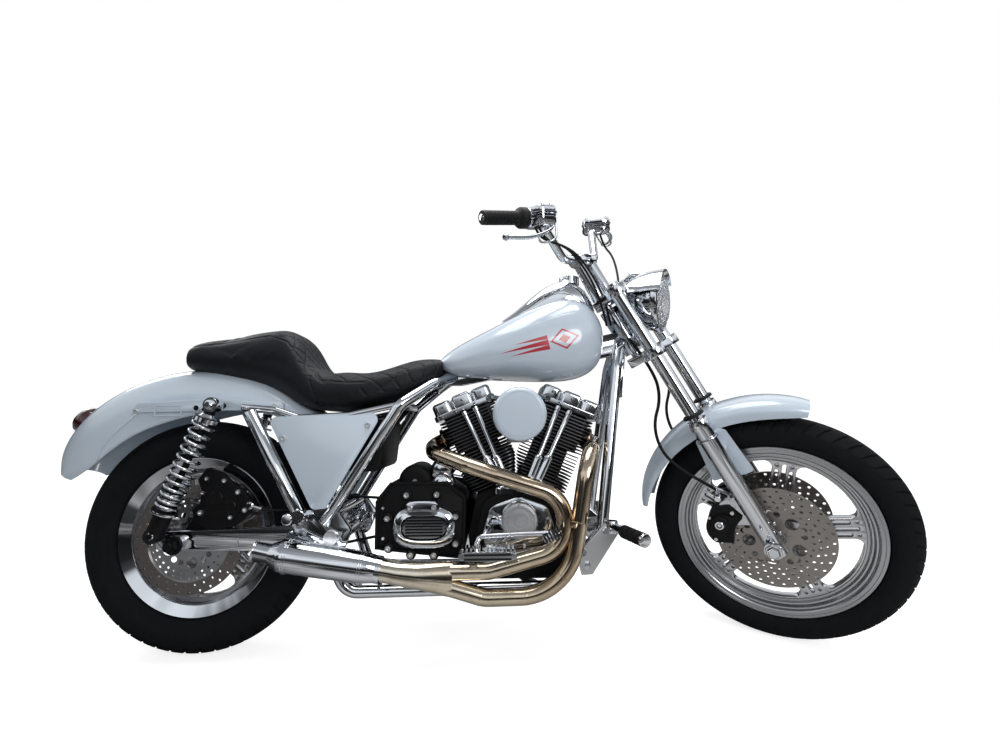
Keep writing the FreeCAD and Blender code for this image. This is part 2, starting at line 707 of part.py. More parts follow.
def gearbox():
    case = plate([(505, 290, 22), (748, 262, 22), (752, 430, 22), (700, 468, 22), (545, 470, 30), (505, 420, 30)],
                 -96, pulley_inner_face - 2)
    output = Vector(output_x, 0, output_z)
    case = joined([
        case, rod(Vector(608, -62, 468), Vector(608, 64, 468), 46),
        rod(add(output, y=50), add(output, y=primary_inner - 0.3), 20),
        rod(add(output, y=pulley_inner_face), add(output, y=pulley_inner_face + pulley_width), output_pulley_radius)])
    cover = plate([(566, 306, 28), (718, 300, 28), (728, 352, 28), (714, 402, 28), (572, 402, 28), (556, 354, 28)],
                  -128, -96.3)
    starter = joined([
        rod(Vector(684, -62, 500.3), Vector(684, primary_inner - 0.3, 500.3), 32),
        rod(Vector(684, -72, 500.3), Vector(684, -60, 500.3), 26)])
    clutch_centre = Vector(624, 0, 352)
    engine_centre = Vector(crank_x, 0, crank_z + 8)
    wall = loop_wire(clutch_centre, 126, engine_centre, 104, primary_inner)
    primary = Part.Face(wall).extrude(Vector(0, primary_outer - primary_inner, 0))
    outer_edges = [edge for edge in primary.Edges if abs(edge.CenterOfMass.y - primary_outer) < 0.01]
    primary = primary.makeFillet(16, outer_edges)
    nose = rod(add(engine_centre, y=case_half_width + 0.3), add(engine_centre, y=primary_inner + 1), 78)
    primary = joined([primary, nose])
    return {"gearbox": case, "gearbox_cover": cover, "starter_motor": starter, "primary_cover": primary}


def exhaust():
    ports = []
    for sign, along, across in cylinder_axes():
        face = Vector(crank_x, 0, crank_z) + along * port_height + across * (sign * (port_reach + 0.3))
        ports.append((face, across * sign))
    (rear_port, rear_way), (front_port, front_way) = ports
    front = [tuple(front_port), tuple(front_port + front_way * 34), (1092, -134, 556), (1070, -172, 500),
             (1017, -172, 192), (800, -172, 188), (706, -176, 218)]
    rear = [tuple(rear_port), tuple(rear_port + rear_way * 44), (664, -96, 548), (760, -160, 517), (840, -172, 491),
            (1012, -172, 435), (1008, -172, 304), (815, -172, 253), (706, -176, 254)]
    pipes = [tube(front, pipe_radius, [0, 24, 60, 90, 150, 90, 0]),
             tube(rear, pipe_radius, [0, 36, 40, 60, 90, 82, 82, 80, 0])]
    collector_end = Vector(545, -196, 266)
    # where the two pipes become one: x, y, half width, underside, top
    stations = [
        (718, -175, 25, 192, 278), (680, -178, 29, 202, 280), (636, -184, 30, 214, 280), (585, -190, 30, 226, 286),
        (collector_end.x + 1, collector_end.y, collector_radius, 237, 295)]
    wires = []
    for x, y, half_width, low, high in stations:
        wire = oval_wire(x, half_width, low, high, 2.0)
        wire.translate(Vector(0, y, 0))
        wires.append(wire)
    pipes.append(Part.makeLoft(wires, True, False))
    tail = Vector(240, -212, 318)
    along = (tail - collector_end).normalize()
    body = joined([
        taper(collector_end + along * 1.2, collector_end + along * 46, collector_radius + 2, muffler_radius - 3),
        taper(collector_end + along * 46, tail - along * 66, muffler_radius - 3, muffler_radius),
        taper(tail - along * 66, tail - along * 36, muffler_radius, tip_radius),
        rod(tail - along * 36, tail, tip_radius)])
    hollow = rod(tail - along * 90, tail + along * 2, tip_radius - 4)
    outer = pivot_half_width + plate_thickness + 0.3
    lug = rod(Vector(352, -outer, 317), Vector(352, -190, 317), 10)
    return {"exhaust_pipes": joined(pipes), "muffler": joined([body, lug]).cut(hollow)}


def fuel_tank():
    # x, half width, underside, top, height share of the widest line
    stations = [
        (672, 44, 796, 812, 0.5), (700, 74, 774, 840, 0.4), (760, 106, 762, 876, 0.4), (850, 134, 757, 922, 0.42),
        (950, 146, 753, 970, 0.42), (1040, 140, 754, 998, 0.42), (1105, 122, 770, 982, 0.45),
        (1140, 88, 800, 944, 0.5), (1152, 40, 850, 905, 0.5)]
    wires = [oval_wire(x, w, low, high, 2.3, share) for x, w, low, high, share in stations]
    tank = Part.makeLoft(wires, True, False)
    tunnel = plate([(1240, 916, 0), (1190, 818, 0), (735, 735, 0), (650, 735, 0), (650, 796, 0), (735, 803, 0)],
                   -24, 24)
    return tank.cut([tunnel])


def tank_console():
    stations = [(858, 20, 905, 938, 0.3), (900, 34, 925, 968, 0.3), (980, 46, 955, 1034, 0.3),
                (1050, 48, 968, 1058, 0.3), (1105, 40, 950, 1034, 0.3), (1138, 20, 915, 972, 0.3)]
    wires = [oval_wire(x, w, low, high, 2.6, share) for x, w, low, high, share in stations]
    dome = Part.makeLoft(wires, True, False)
    cap = rod(Vector(1066, 0, 1050), Vector(1066, 0, 1072), 30)
    # hollowed at the front, so that the upper clamp turns clear of it
    swing_room = rod(fork_point(0, 0, upper_clamp_height - 60), fork_point(0, 0, upper_clamp_height + 60), 48)
    return joined([dome, cap]).cut(swing_room)


def seat():
    # x, half width, underside, top, fullness of the section
    stations = [
        (-52, 60, 786, 838, 2.6), (-30, 90, 780, 860, 2.8), (60, 108, 768, 874, 3.0), (160, 116, 748, 892, 3.2),
        (230, 124, 718, 900, 3.2), (275, 130, 690, 872, 3.2), (318, 136, 672, 800, 3.0), (370, 140, 668, 772, 3.0),
        (460, 142, 672, 772, 3.0), (560, 132, 694, 796, 2.8), (640, 104, 730, 822, 2.6), (684, 70, 772, 822, 2.4)]
    wires = [oval_wire(x, w, low, high, power) for x, w, low, high, power in stations]
    pad = Part.makeLoft(wires, True, False)
    return pad.cut(arch_room(rear_axle, rear_fender_stations, running_clearance))


def rear_body():
    strut = plate([(-148, 664, 10), (-140, 690, 10), (60, 700, 20), (250, 692, 12), (256, 668, 10), (60, 668, 20)],
                  -115, -101.6)
    strut = strut.cut(rod(Vector(92, -200, 681), Vector(92, -90, 681), 7.1))
    lamp_centre = Vector(-345, 0, 636)
    lamp_axis = Vector(-0.80, 0, 0.6).normalize()
    lamp = turned([(-12, 0), (-12, 44), (22, 42), (34, 34), (40, 0)], lamp_centre, lamp_axis)
    panel = plate([(226, 648, 16), (534, 660, 20), (384, 404, 16), (350, 408, 16)], -147, -141)
    tank = plate([(430, 500, 20), (520, 500, 20), (536, 640, 20), (430, 640, 20)], -116, 116)
    lugs = [rod(Vector(520, y, 622), Vector(566, y, 676), 8) for y in (-60, 60)]
    tank = joined([tank] + lugs)
    return {
        "fender_struts": together(both(strut)), "tail_lamp": lamp, "side_panels": together(both(panel)),
        "oil_tank": tank}


def belt():
    # one loop round the gearbox pulley and the wheel pulley
    low = pulley_inner_face + 2
    high = pulley_inner_face + pulley_width - 2
    front = Vector(output_x, 0, output_z)
    inner = pulley_radius + belt_clearance
    small = output_pulley_radius + running_clearance
    outer = Part.Face(loop_wire(rear_axle, inner + belt_thickness, front, small + belt_thickness, low))
    inside = Part.Face(loop_wire(rear_axle, inner, front, small, low))
    return outer.cut(inside).extrude(Vector(0, high - low, 0))


def foot_controls():
    hanger = plate([(1046, 281, 10), (1058, 227, 8), (1087, 229, 8), (1162, 337, 10), (1146, 364, 10), (1123, 358, 8),
                    (1068, 302, 30)], -134, -124)
    stem = rod(Vector(1108, -96, 318), Vector(1108, -126, 318), 12)
    peg = rod(Vector(1142, -130, 350), Vector(1172, -206, 347), 12)
    rubber = rod(Vector(1160, -178, 348), Vector(1190, -266, 343), 17)
    highway = joined([hanger, stem, peg, rubber])
    mid_controls = []
    right_root = rod(Vector(775, -case_half_width - 0.8, 300), Vector(775, -224, 306), 11)
    left_root = tube([(812, -118, 202), (812, -152, 200), (812, -190, 206), (812, -224, 306)], 11, 16)
    for root, x in ((right_root, 775), (left_root, 812)):
        board = plate([(738, 300, 6), (886, 300, 6), (886, 324, 6), (738, 324, 6)], -266, -218)
        pedal = tube([(x, -214, 306), (x + 16, -210, 346), (900, -214, 352), (965, -230, 356)], 7, 12)
        pad = rod(Vector(968, -216, 356), Vector(968, -268, 356), 13)
        mid_controls.append(joined([root, board, pedal, pad]))
    right_side, left_side = mid_controls
    passenger = rod(Vector(330, -pivot_half_width - plate_thickness - 0.3, 392), Vector(330, -252, 400), 15)
    return together(both(highway) + [right_side, mirrored(left_side)] + both(passenger))


def rear_brake():
    # a caliper astride the rotor on a bracket that hangs on the axle, inside the swingarm
    centre = rear_rotor_inner_face + rotor_thickness / 2
    half_slot = rotor_thickness / 2 + rotor_gap
    bracket_outer = arm_offset - arm_width / 2 - 0.3
    body = plate([(60, 392, 12), (196, 376, 12), (196, 430, 18), (132, 484, 24), (56, 494, 24), (30, 450, 14)],
                 -bracket_outer - 6, -centre + 24)
    bracket = plate([(-26, 300, 20), (30, 300, 20), (206, 352, 10), (206, 400, 10), (60, 500, 20), (20, 500, 16),
                     (-26, 346, 20)], -bracket_outer, -centre - half_slot)
    arm_room = plate([(-80, 200, 0), (420, 200, 0), (420, 372, 0), (-80, 372, 0)], -bracket_outer - 30, -bracket_outer)
    slot = turned([(-centre - half_slot, 0), (half_slot - centre, 0), (half_slot - centre, rear_rotor_radius + 8),
                   (-centre - half_slot, rear_rotor_radius + 8)], rear_axle)
    tyre_room = turned([(-centre - half_slot + 6, 192), (-30, 192), (-30, 400), (-centre - half_slot + 6, 400)],
                       rear_axle)
    bore = rod(add(rear_axle, y=-200), rear_axle, rear_axle_radius + 0.1)
    return joined([body, bracket]).cut([arm_room, slot, tyre_room, bore])


def front_brake(side):
    centre = side * (front_rotor_inner_face + rotor_thickness / 2)
    outline = [(1466, 312, 12), (1536, 300, 14), (1560, 360, 16), (1536, 440, 22), (1500, 470, 18), (1466, 410, 14)]
    half = caliper_outer_face - 0.3 - abs(centre)
    block = plate(outline, centre - half, centre + half)
    reach = rotor_gap + rotor_thickness / 2
    slot = turned([(centre - reach, 0), (centre + reach, 0), (centre + reach, front_rotor_radius + 8),
                   (centre - reach, front_rotor_radius + 8)], front_axle)
    return block.cut(slot)


def headlamp():
    centre = Vector(1240, 0, 985)
    axis = Vector(1, 0, 0)
    shell = turned([(0, 0), (4, 34), (20, 54), (44, 70), (74, 79), (90, 82), (90, 86), (106, 86), (108, 80), (96, 76),
                    (96, 0)], centre, axis)
    lens = turned([(96.4, 0), (96.4, 75.6), (108, 75), (118, 52), (123, 0)], centre, axis)
    bracket = tube([(1222, 0, 1044), (1262, 0, 1072), (1300, 0, 1070), (1308, 0, 1058)], 8, 14)
    # a peak over the upper third of the lamp
    section = [(-8, 66), (18, 78), (48, 88), (84, 94), (116, 97), (116, 94), (104, 91), (104, 84.5), (92, 84.5), (92, 90),
               (48, 85), (18, 75), (-8, 63)]
    points = [centre + axis * a + Vector(0, 0, r) for a, r in section]
    profile = Part.Face(Part.makePolygon(points + [points[0]]))
    profile.rotate(centre, axis, -62)
    peak = profile.revolve(centre, axis, 124)
    return {"headlamp_shell": joined([shell, bracket, peak]), "headlamp_lens": lens}


def mirror_hole(side):
    direction = Vector(0, 0, 1)
    return Vector(1076, side * 236, 1266), direction, 4.0, 12.0


def mirror_boss(side):
    foot, direction, radius, depth = mirror_hole(side)
    boss = rod(foot - direction * 12, foot + direction * depth, 9)
    return boss, rod(foot, foot + direction * (depth + 1), radius)


def bars():
    bar = tube([(1112, 0, 1126), (1110, -60, 1126), (1102, -140, 1136), (1076, -196, 1222), (1062, -252, 1244),
                (997, -380, 1246)], 12.7, 34)
    whole = joined(both(bar))
    risers = []
    for side in (-1, 1):
        # leaning back from the clamp to the bar, which they hold in a split block
        foot = fork_point(8, side * 48, upper_clamp_height + 13)
        risers.append(taper(foot, Vector(1114, side * 48, 1122), 21, 18))
        risers.append(rod(Vector(1111.5, side * 68, 1126), Vector(1111.5, side * 28, 1126), 22))
    grip = rod(Vector(1047, -281, 1244.7), Vector(993, -387, 1246), 18)
    flange = rod(Vector(1054, -266, 1244.5), Vector(1043, -289, 1244.8), 27)
    grip = joined([grip, flange])
    reservoir = joined([
        rod(Vector(1061, -250, 1244), Vector(1055, -265, 1244), 24),
        plate([(1030, 1226, 8), (1120, 1230, 8), (1122, 1272, 8), (1034, 1276, 8)], -262, -208)])
    lever = tube([(1106, -222, 1232), (1122, -258, 1208), (1092, -320, 1190), (1056, -384, 1192)], 6, 16)
    boss, hole = mirror_boss(-1)
    control = joined([reservoir, lever, boss]).cut(hole)
    return {
        "handlebar": whole, "risers": together(risers), "grips": together(both(grip)),
        "bar_controls": together(both(control))}


def hoses():
    runs = []
    for side in (-1, 1):
        points = [(1262, side * 60, 892), (1330, side * 66, 800), (1352, side * 76, 720), (1330, side * 84, 640),
                  (1352, side * 88, 560), (1410, side * 88, 510), (1478, side * 76, 470), (1500, side * 66, 452)]
        runs.append(tube(points, 4.5, 40))
    return together(runs)


def lowest(section, centre, axle, turn):
    # lowest point of a tyre once turned, from the circles of its section
    seat = turn.multVec(centre)
    spin = turn.multVec(axle)
    flat = math.sqrt(1 - spin.z ** 2)
    return min(seat.z + spin.z * a - r * flat for a, r in section)


steer = Placement(Vector(0, 0, 0), Rotation(steer_axis, -steer_lock_deg), steer_point)
front_axle_steered = steer.multVec(front_axle)
front_axle_heading = steer.Rotation.multVec(Vector(0, 1, 0))


def stance(pitch_deg):
    return Rotation(Vector(0, 1, 0), pitch_deg).multiply(Rotation(Vector(1, 0, 0), -lean_deg))


def level_error(pitch_deg):
    turn = stance(pitch_deg)
    rear = lowest(rear_tyre_section, rear_axle, Vector(0, 1, 0), turn)
    front = lowest(front_tyre_section, front_axle_steered, front_axle_heading, turn)
    return front - rear


def level_pitch():
    # the small pitch at which both tyres touch the floor, by halving
    low, high = -3.0, 3.0
    for _ in range(50):
        middle = (low + high) / 2
        if level_error(low) * level_error(middle) <= 0:
            high = middle
        else:
            low = middle
    return (low + high) / 2


parked_turn = stance(level_pitch())
floor_level = lowest(rear_tyre_section, rear_axle, Vector(0, 1, 0), parked_turn)
floor_normal = parked_turn.inverted().multVec(Vector(0, 0, 1))


def floor_under(x, y):
    # height of the floor below a point of the upright machine
    return (floor_level - floor_normal.x * x - floor_normal.y * y) / floor_normal.z


stand_foot_x = stand_hinge.x + stand_reach.x
stand_foot_y = stand_hinge.y + stand_reach.y
stand_foot = Vector(stand_foot_x, stand_foot_y, floor_under(stand_foot_x, stand_foot_y))
stand_down = stand_foot - stand_hinge
stand_axis = stand_down.cross(stand_folded).normalize()
stand_sweep_deg = math.degrees(stand_down.getAngle(stand_folded))


def side_stand():
    hinge = stand_hinge
    foot = stand_foot + floor_normal * 8
    pad = rod(stand_foot, stand_foot + floor_normal * 8, 30)
    mid = hinge + (foot - hinge) * 0.55 + Vector(12, 0, -10)
    leg = tube([tuple(hinge + (foot - hinge) * 0.06), tuple(mid), tuple(foot)], stand_leg_radius, 60)
    eye = rod(hinge - stand_axis * stand_eye_half, hinge + stand_axis * stand_eye_half, stand_eye_radius)
    bore = rod(hinge - stand_axis * 40, hinge + stand_axis * 40, stand_pin_radius + running_clearance)
    return joined([eye, leg, pad]).cut(bore)


def stand_bracket():
    # two ears on the frame rail and the pin that the stand swings on
    inward = Vector(0, -1, 0) - stand_axis * stand_axis.dot(Vector(0, -1, 0))
    inward.normalize()
    aside = stand_axis.cross(inward)
    root = stand_hinge + inward * 38
    ear_thickness = 7.0
    parts = [rod(stand_hinge - stand_axis * 20, stand_hinge + stand_axis * 20, stand_pin_radius)]
    for start in (stand_eye_half + 1, -stand_eye_half - 1 - ear_thickness):
        lift = stand_axis * start
        corners = [stand_hinge + aside * 14, root + aside * 26, root - aside * 26, stand_hinge - aside * 14]
        face = Part.Face(Part.makePolygon([corner + lift for corner in corners + corners[:1]]))
        parts.append(face.extrude(stand_axis * ear_thickness))
        parts.append(rod(stand_hinge + lift, stand_hinge + lift + stand_axis * ear_thickness, 14))
    return joined(parts)


# Pieces shaped to what they sit on: each is cut back by its carriers
seats_on = {
    "fuel_tank": ["frame"],
    "tank_console": ["fuel_tank"],
    "seat": ["fuel_tank", "frame"],
    "side_panels": ["frame"],
    "oil_tank": ["frame"],
    "cylinders": ["crankcase"],
    "gearbox": ["crankcase"],
    "pushrod_tubes": ["rocker_boxes", "crankcase", "cylinders"],
    "carburettor": ["cylinders"],
    "air_cleaner": ["carburettor"],
    "muffler": ["exhaust_pipes"],
    "foot_controls": ["frame"],
    "stand_bracket": ["frame"],
    "fender_struts": ["rear_fender"],
    "shock_absorbers": ["swingarm", "fender_struts"],
    "tail_lamp": ["rear_fender"],
    "front_fender": ["fork_sliders"],
    "rear_caliper": ["swingarm"],
    "grips": ["handlebar"],
    "bar_controls": ["handlebar", "grips"],
    "risers": ["handlebar", "triple_clamps"],
    "brake_hoses": ["triple_clamps", "front_calipers"],
    "headlamp_shell": ["triple_clamps"]}


def trimmed(shape, carriers):
    # the cut can leave scraps inside a carrier: as many solids are kept as went in, the largest ones
    solids = sorted(shape.cut(carriers).Solids, key=lambda solid: solid.Volume)
    return together(solids[-len(shape.Solids):])


def body_pieces():
    # every piece by name, upright and straight ahead, grouped by what it moves with
    chassis = {"frame": frame(), "swingarm": swingarm(), "rear_fender": rear_fender(), "fuel_tank": fuel_tank(),
               "tank_console": tank_console(), "seat": seat(), "drive_belt": belt(),
               "foot_controls": foot_controls(), "rear_caliper": rear_brake(), "stand_bracket": stand_bracket()}
    for group in (axles(), shock_absorbers(), engine(), intake(), gearbox(), exhaust(), rear_body()):
        chassis.update(group)
    steering = {"front_fender": front_fender(), "front_calipers": together([front_brake(-1), front_brake(1)]),
                "brake_hoses": hoses()}
    for group in (fork(), headlamp(), bars()):
        steering.update(group)
    for pieces in (chassis, steering):
        for name, carriers in seats_on.items():
            if name in pieces:
                pieces[name] = trimmed(pieces[name], [pieces[carrier] for carrier in carriers])
    return {
        "chassis": chassis, "steering": steering, "front_wheel": front_wheel(), "rear_wheel": rear_wheel(),
        "side_stand": {"side_stand": side_stand()}}


bodies = body_pieces()

# Parked placement: steer, lean, stand on the floor, then centre the box over the origin
lean_placement = Placement(Vector(0, 0, 0), parked_turn)


def parked(shape, body):
    moved = shape.copy()
    if body in ("steering", "front_wheel"):
        moved.Placement = steer.multiply(moved.Placement)
    moved.Placement = lean_placement.multiply(moved.Placement)
    return moved


def reach(shape):
    points, _ = shape.tessellate(0.2)
    return [(min(p[i] for p in points), max(p[i] for p in points)) for i in range(3)]


parked_pieces = {}
for body, pieces in bodies.items():
    for name, shape in pieces.items():
        parked_pieces[name] = parked(shape, body)
outermost = ("rear_tyre", "front_tyre", "grips", "bar_controls", "handlebar", "tail_lamp", "rear_fender", "side_stand",
             "foot_controls")
spans = [reach(parked_pieces[name]) for name in outermost]
low_corner = [min(span[i][0] for span in spans) for i in range(3)]
high_corner = [max(span[i][1] for span in spans) for i in range(3)]
shift = Vector(-(low_corner[0] + high_corner[0]) / 2, -(low_corner[1] + high_corner[1]) / 2, -floor_level)
overall = [high_corner[i] - low_corner[i] for i in range(3)]


def main():
    os.makedirs("parts", exist_ok=True)
    for name, shape in parked_pieces.items():
        shape.translate(shift)
        shape.exportStep("parts/" + name + ".step")
        print(name, "solids", len(shape.Solids), "litres", round(shape.Volume / 1e6, 3), "valid", shape.isValid())
    print("overall mm", [round(v, 1) for v in overall])


main()
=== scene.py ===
# Chopper motorcycle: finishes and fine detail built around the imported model
import json
import math

import bmesh
import bpy
from mathutils import Matrix, Vector
from mathutils.bvhtree import BVHTree

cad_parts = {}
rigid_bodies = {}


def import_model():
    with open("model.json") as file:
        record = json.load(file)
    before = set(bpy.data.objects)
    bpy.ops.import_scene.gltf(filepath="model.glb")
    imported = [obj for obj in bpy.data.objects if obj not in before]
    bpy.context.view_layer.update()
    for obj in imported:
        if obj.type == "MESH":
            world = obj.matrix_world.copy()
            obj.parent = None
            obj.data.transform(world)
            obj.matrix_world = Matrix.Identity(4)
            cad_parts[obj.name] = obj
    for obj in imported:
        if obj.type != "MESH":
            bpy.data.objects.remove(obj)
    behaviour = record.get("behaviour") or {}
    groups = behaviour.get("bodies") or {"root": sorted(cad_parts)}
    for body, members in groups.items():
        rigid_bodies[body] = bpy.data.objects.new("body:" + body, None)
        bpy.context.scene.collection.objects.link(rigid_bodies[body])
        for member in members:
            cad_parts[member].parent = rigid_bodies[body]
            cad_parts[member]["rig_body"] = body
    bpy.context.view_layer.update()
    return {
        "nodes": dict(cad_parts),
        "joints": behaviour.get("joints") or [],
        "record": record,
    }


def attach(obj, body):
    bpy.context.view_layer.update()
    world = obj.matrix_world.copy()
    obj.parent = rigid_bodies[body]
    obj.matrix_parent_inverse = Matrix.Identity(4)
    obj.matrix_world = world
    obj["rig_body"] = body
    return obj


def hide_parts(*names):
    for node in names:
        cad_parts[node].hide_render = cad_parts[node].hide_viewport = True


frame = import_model()
nodes = frame["nodes"]
print("frame loaded:", len(nodes), "nodes")

# Placement: points are given in millimetres on the upright machine, X forward of the rear axle, Z above the ground
machine = {"rearRadius": 320.0, "wheelbase": 1643.0, "frontRadius": 331.0, "rake": 30.0}
rearAxle = (0, 0, machine["rearRadius"])
frontAxle = (machine["wheelbase"], 0, machine["frontRadius"])
joints = {joint["name"]: joint for joint in frame["joints"]}


def bikeMatrix():
    spin = joints["rear_wheel_spin"]
    across = Vector(spin["axis"]).normalized()
    ahead = (Vector((1, 0, 0)) - across * across.x).normalized()
    up = ahead.cross(across)
    origin = Vector(spin["pos_m"]) - up * machine["rearRadius"] / 1000
    return Matrix.Translation(origin) @ Matrix((ahead, across, up)).transposed().to_4x4() @ Matrix.Scale(0.001, 4)


def forkMatrix():
    spin = joints["front_wheel_spin"]
    across = Vector(spin["axis"]).normalized()
    stem = Vector(joints["steering"]["axis"]).normalized()
    forward = across.cross(stem).normalized()
    rake = math.radians(machine["rake"])
    ahead = forward * math.cos(rake) - stem * math.sin(rake)
    up = forward * math.sin(rake) + stem * math.cos(rake)
    turn = Matrix((ahead, across, up)).transposed().to_4x4()
    axle = Vector(frontAxle) / 1000
    return Matrix.Translation(Vector(spin["pos_m"]) - turn @ axle) @ turn @ Matrix.Scale(0.001, 4)


onBike = bikeMatrix()
onFork = forkMatrix()
steeredBodies = ("steering", "front_wheel")


def placed(body):
    return onFork if body in steeredBodies else onBike


# Camera, as fitted to the photograph's wheels and frame, in the upright machine's millimetres
viewpoint = {"place": (820.33, -1441.70, 617.33), "yaw": -1.1716, "pitch": 6.1625, "roll": 0.4837, "lens": 17.291}


def addCamera():
    data = bpy.data.cameras.new("camera")
    data.lens = viewpoint["lens"]
    data.sensor_width = 36.0
    data.clip_end = 100.0
    camera = bpy.data.objects.new("camera", data)
    bpy.context.scene.collection.objects.link(camera)
    turn = (Matrix.Rotation(math.radians(viewpoint["yaw"]), 3, "Z")
            @ Matrix.Rotation(math.radians(viewpoint["pitch"]), 3, "X")
            @ Matrix.Rotation(math.radians(viewpoint["roll"]), 3, "Y"))
    right, forward, up = turn.col
    lean = onBike.to_3x3() * 1000
    axes = Matrix((lean @ right, lean @ up, -(lean @ forward))).transposed().to_4x4()
    camera.matrix_world = Matrix.Translation(onBike @ Vector(viewpoint["place"])) @ axes
    bpy.context.scene.camera = camera


addCamera()
bpy.context.scene.view_settings.view_transform = "Standard"
print("camera set")


# One method makes any node of any tree, and shader maths is written with Python's operators
class Maths:
    def __init__(self, build, socket):
        self.build = build
        self.socket = socket

    def op(self, operation, *values, clamp=False):
        return self.build.value("ShaderNodeMath", {"operation": operation, "use_clamp": clamp}, list(values))

    def __add__(self, other):
        return self.op("ADD", self, other)

    def __radd__(self, other):
        return self.op("ADD", other, self)

    def __sub__(self, other):
        return self.op("SUBTRACT", self, other)

    def __rsub__(self, other):
        return self.op("SUBTRACT", other, self)

    def __mul__(self, other):
        return self.op("MULTIPLY", self, other)

    def __rmul__(self, other):
        return self.op("MULTIPLY", other, self)

    def __truediv__(self, other):
        return self.op("DIVIDE", self, other)

    def above(self, edge, softness):
        return self.op("MULTIPLY_ADD", self, 1 / softness, 0.5 - edge / softness, clamp=True)

    def size(self):
        return self.op("ABSOLUTE", self)


class Builder:
    def __init__(self, tree):
        self.tree = tree

    def link(self, source, socket):
        if isinstance(source, Maths):
            source = source.socket
        if isinstance(source, bpy.types.NodeSocket):
            self.tree.links.new(source, socket)
        else:
            socket.default_value = source

    def node(self, kind, settings=None, inputs=None):
        node = self.tree.nodes.new(kind)
        for key, value in (settings or {}).items():
            if key == "stops":
                ramp = node.color_ramp.elements
                while len(ramp) < len(value):
                    ramp.new(1.0)
                for element, (position, colour) in zip(ramp, value):
                    element.position = position
                    element.color = (*colour, 1.0)
            else:
                setattr(node, key, value)
        for key, value in inputs.items() if isinstance(inputs, dict) else enumerate(inputs or []):
            self.link(value, node.inputs[key])
        return node

    def value(self, kind, settings=None, inputs=None, output=0):
        return Maths(self, self.node(kind, settings, inputs).outputs[output])


class Finish(Builder):
    def __init__(self, name, colour, roughness, metallic=0.0, coat=0.0, specular=0.5):
        self.material = bpy.data.materials.new(name)
        self.material.use_nodes = True
        self.material.diffuse_color = (*colour, 1.0)
        super().__init__(self.material.node_tree)
        self.shader = self.tree.nodes["Principled BSDF"]
        self.place = self.node("ShaderNodeTexCoord").outputs["Object"]
        for socket, value in (("Base Color", (*colour, 1.0)), ("Roughness", roughness), ("Metallic", metallic),
                              ("Coat Weight", coat), ("Specular IOR Level", specular)):
            self.feed(socket, value)

    def feed(self, name, value):
        self.link(value, self.shader.inputs[name])

    def onMachine(self, place):
        # Object coordinates brought to the upright machine's millimetres, as x, y and z
        back = place.inverted()
        spot = self.node("ShaderNodeMapping", {"vector_type": "POINT"}, {
            "Vector": self.place, "Location": back.translation, "Rotation": back.to_3x3().normalized().to_euler(),
            "Scale": (1000, 1000, 1000)})
        return [Maths(self, part) for part in self.node("ShaderNodeSeparateXYZ", {}, [spot.outputs[0]]).outputs]

    def noise(self, scale, detail=2.0, roughness=0.5):
        return self.value("ShaderNodeTexNoise", {}, {
            "Vector": self.place, "Scale": scale, "Detail": detail, "Roughness": roughness})

    def bands(self, scale):
        return self.value("ShaderNodeTexWave", {"wave_type": "BANDS", "bands_direction": "Y"}, {
            "Vector": self.place, "Scale": scale})

    def mix(self, factor, first, second):
        colours = [(*value, 1.0) if isinstance(value, tuple) else value for value in (first, second)]
        node = self.node("ShaderNodeMix", {"data_type": "RGBA"}, {0: factor, 6: colours[0], 7: colours[1]})
        return Maths(self, node.outputs[2])

    def bump(self, height, distance, strength):
        node = self.node("ShaderNodeBump", {}, {"Strength": strength, "Distance": distance, "Height": height})
        self.feed("Normal", node.outputs["Normal"])


# Paint, with a red lozenge on each side of the tank and three lines that taper away behind it: lift, reach and width
paint = {
    "white": ((0.50, 0.585, 0.675), (0.59, 0.675, 0.765)), "red": ((0.42, 0.018, 0.035), (0.52, 0.03, 0.05)),
    "middle": (1026, 858), "slope": 13, "halfLong": 42, "halfHigh": 30, "start": 44, "outsideOf": 60,
    "lines": ((14, 140, 6.0), (0, 186, 7.5), (-14, 160, 6.5))}


def painted(name, marked=False):
    finish = Finish(name, (0.54, 0.63, 0.72), 0.28, coat=1.0)
    cloud = finish.noise(3.0, 3.0)
    colour = finish.mix(cloud, *paint["white"])
    if marked:
        x, y, z = finish.onMachine(onBike)
        slope = math.radians(paint["slope"])
        ahead, up = x - paint["middle"][0], z - paint["middle"][1]
        u = ahead * math.cos(slope) + up * math.sin(slope)
        v = up * math.cos(slope) - ahead * math.sin(slope)
        lozenge = u.size() / paint["halfLong"] + v.size() / paint["halfHigh"]
        mask = lozenge.above(0.80, 0.03) * (1 - lozenge.above(1.0, 0.03))
        mask = mask.op("MAXIMUM", mask, 1 - lozenge.above(0.42, 0.03))
        for lift, reach, wide in paint["lines"]:
            taper = (u + reach) * (wide / (reach - paint["start"]))
            line = (taper - (v - lift).size()).above(0.0, 0.6)
            line = line * (1 - (u + paint["start"] + 2).above(0.0, 1.0)) * (u + reach).above(0.0, 1.0)
            mask = mask.op("MAXIMUM", mask, line)
        mask = mask * y.size().above(paint["outsideOf"], 2.0)
        colour = finish.mix(mask, colour, finish.mix(cloud, *paint["red"]))
    finish.feed("Base Color", colour)
    finish.bump(finish.noise(420.0, 1.0), 0.0002, 0.08)
    return finish.material


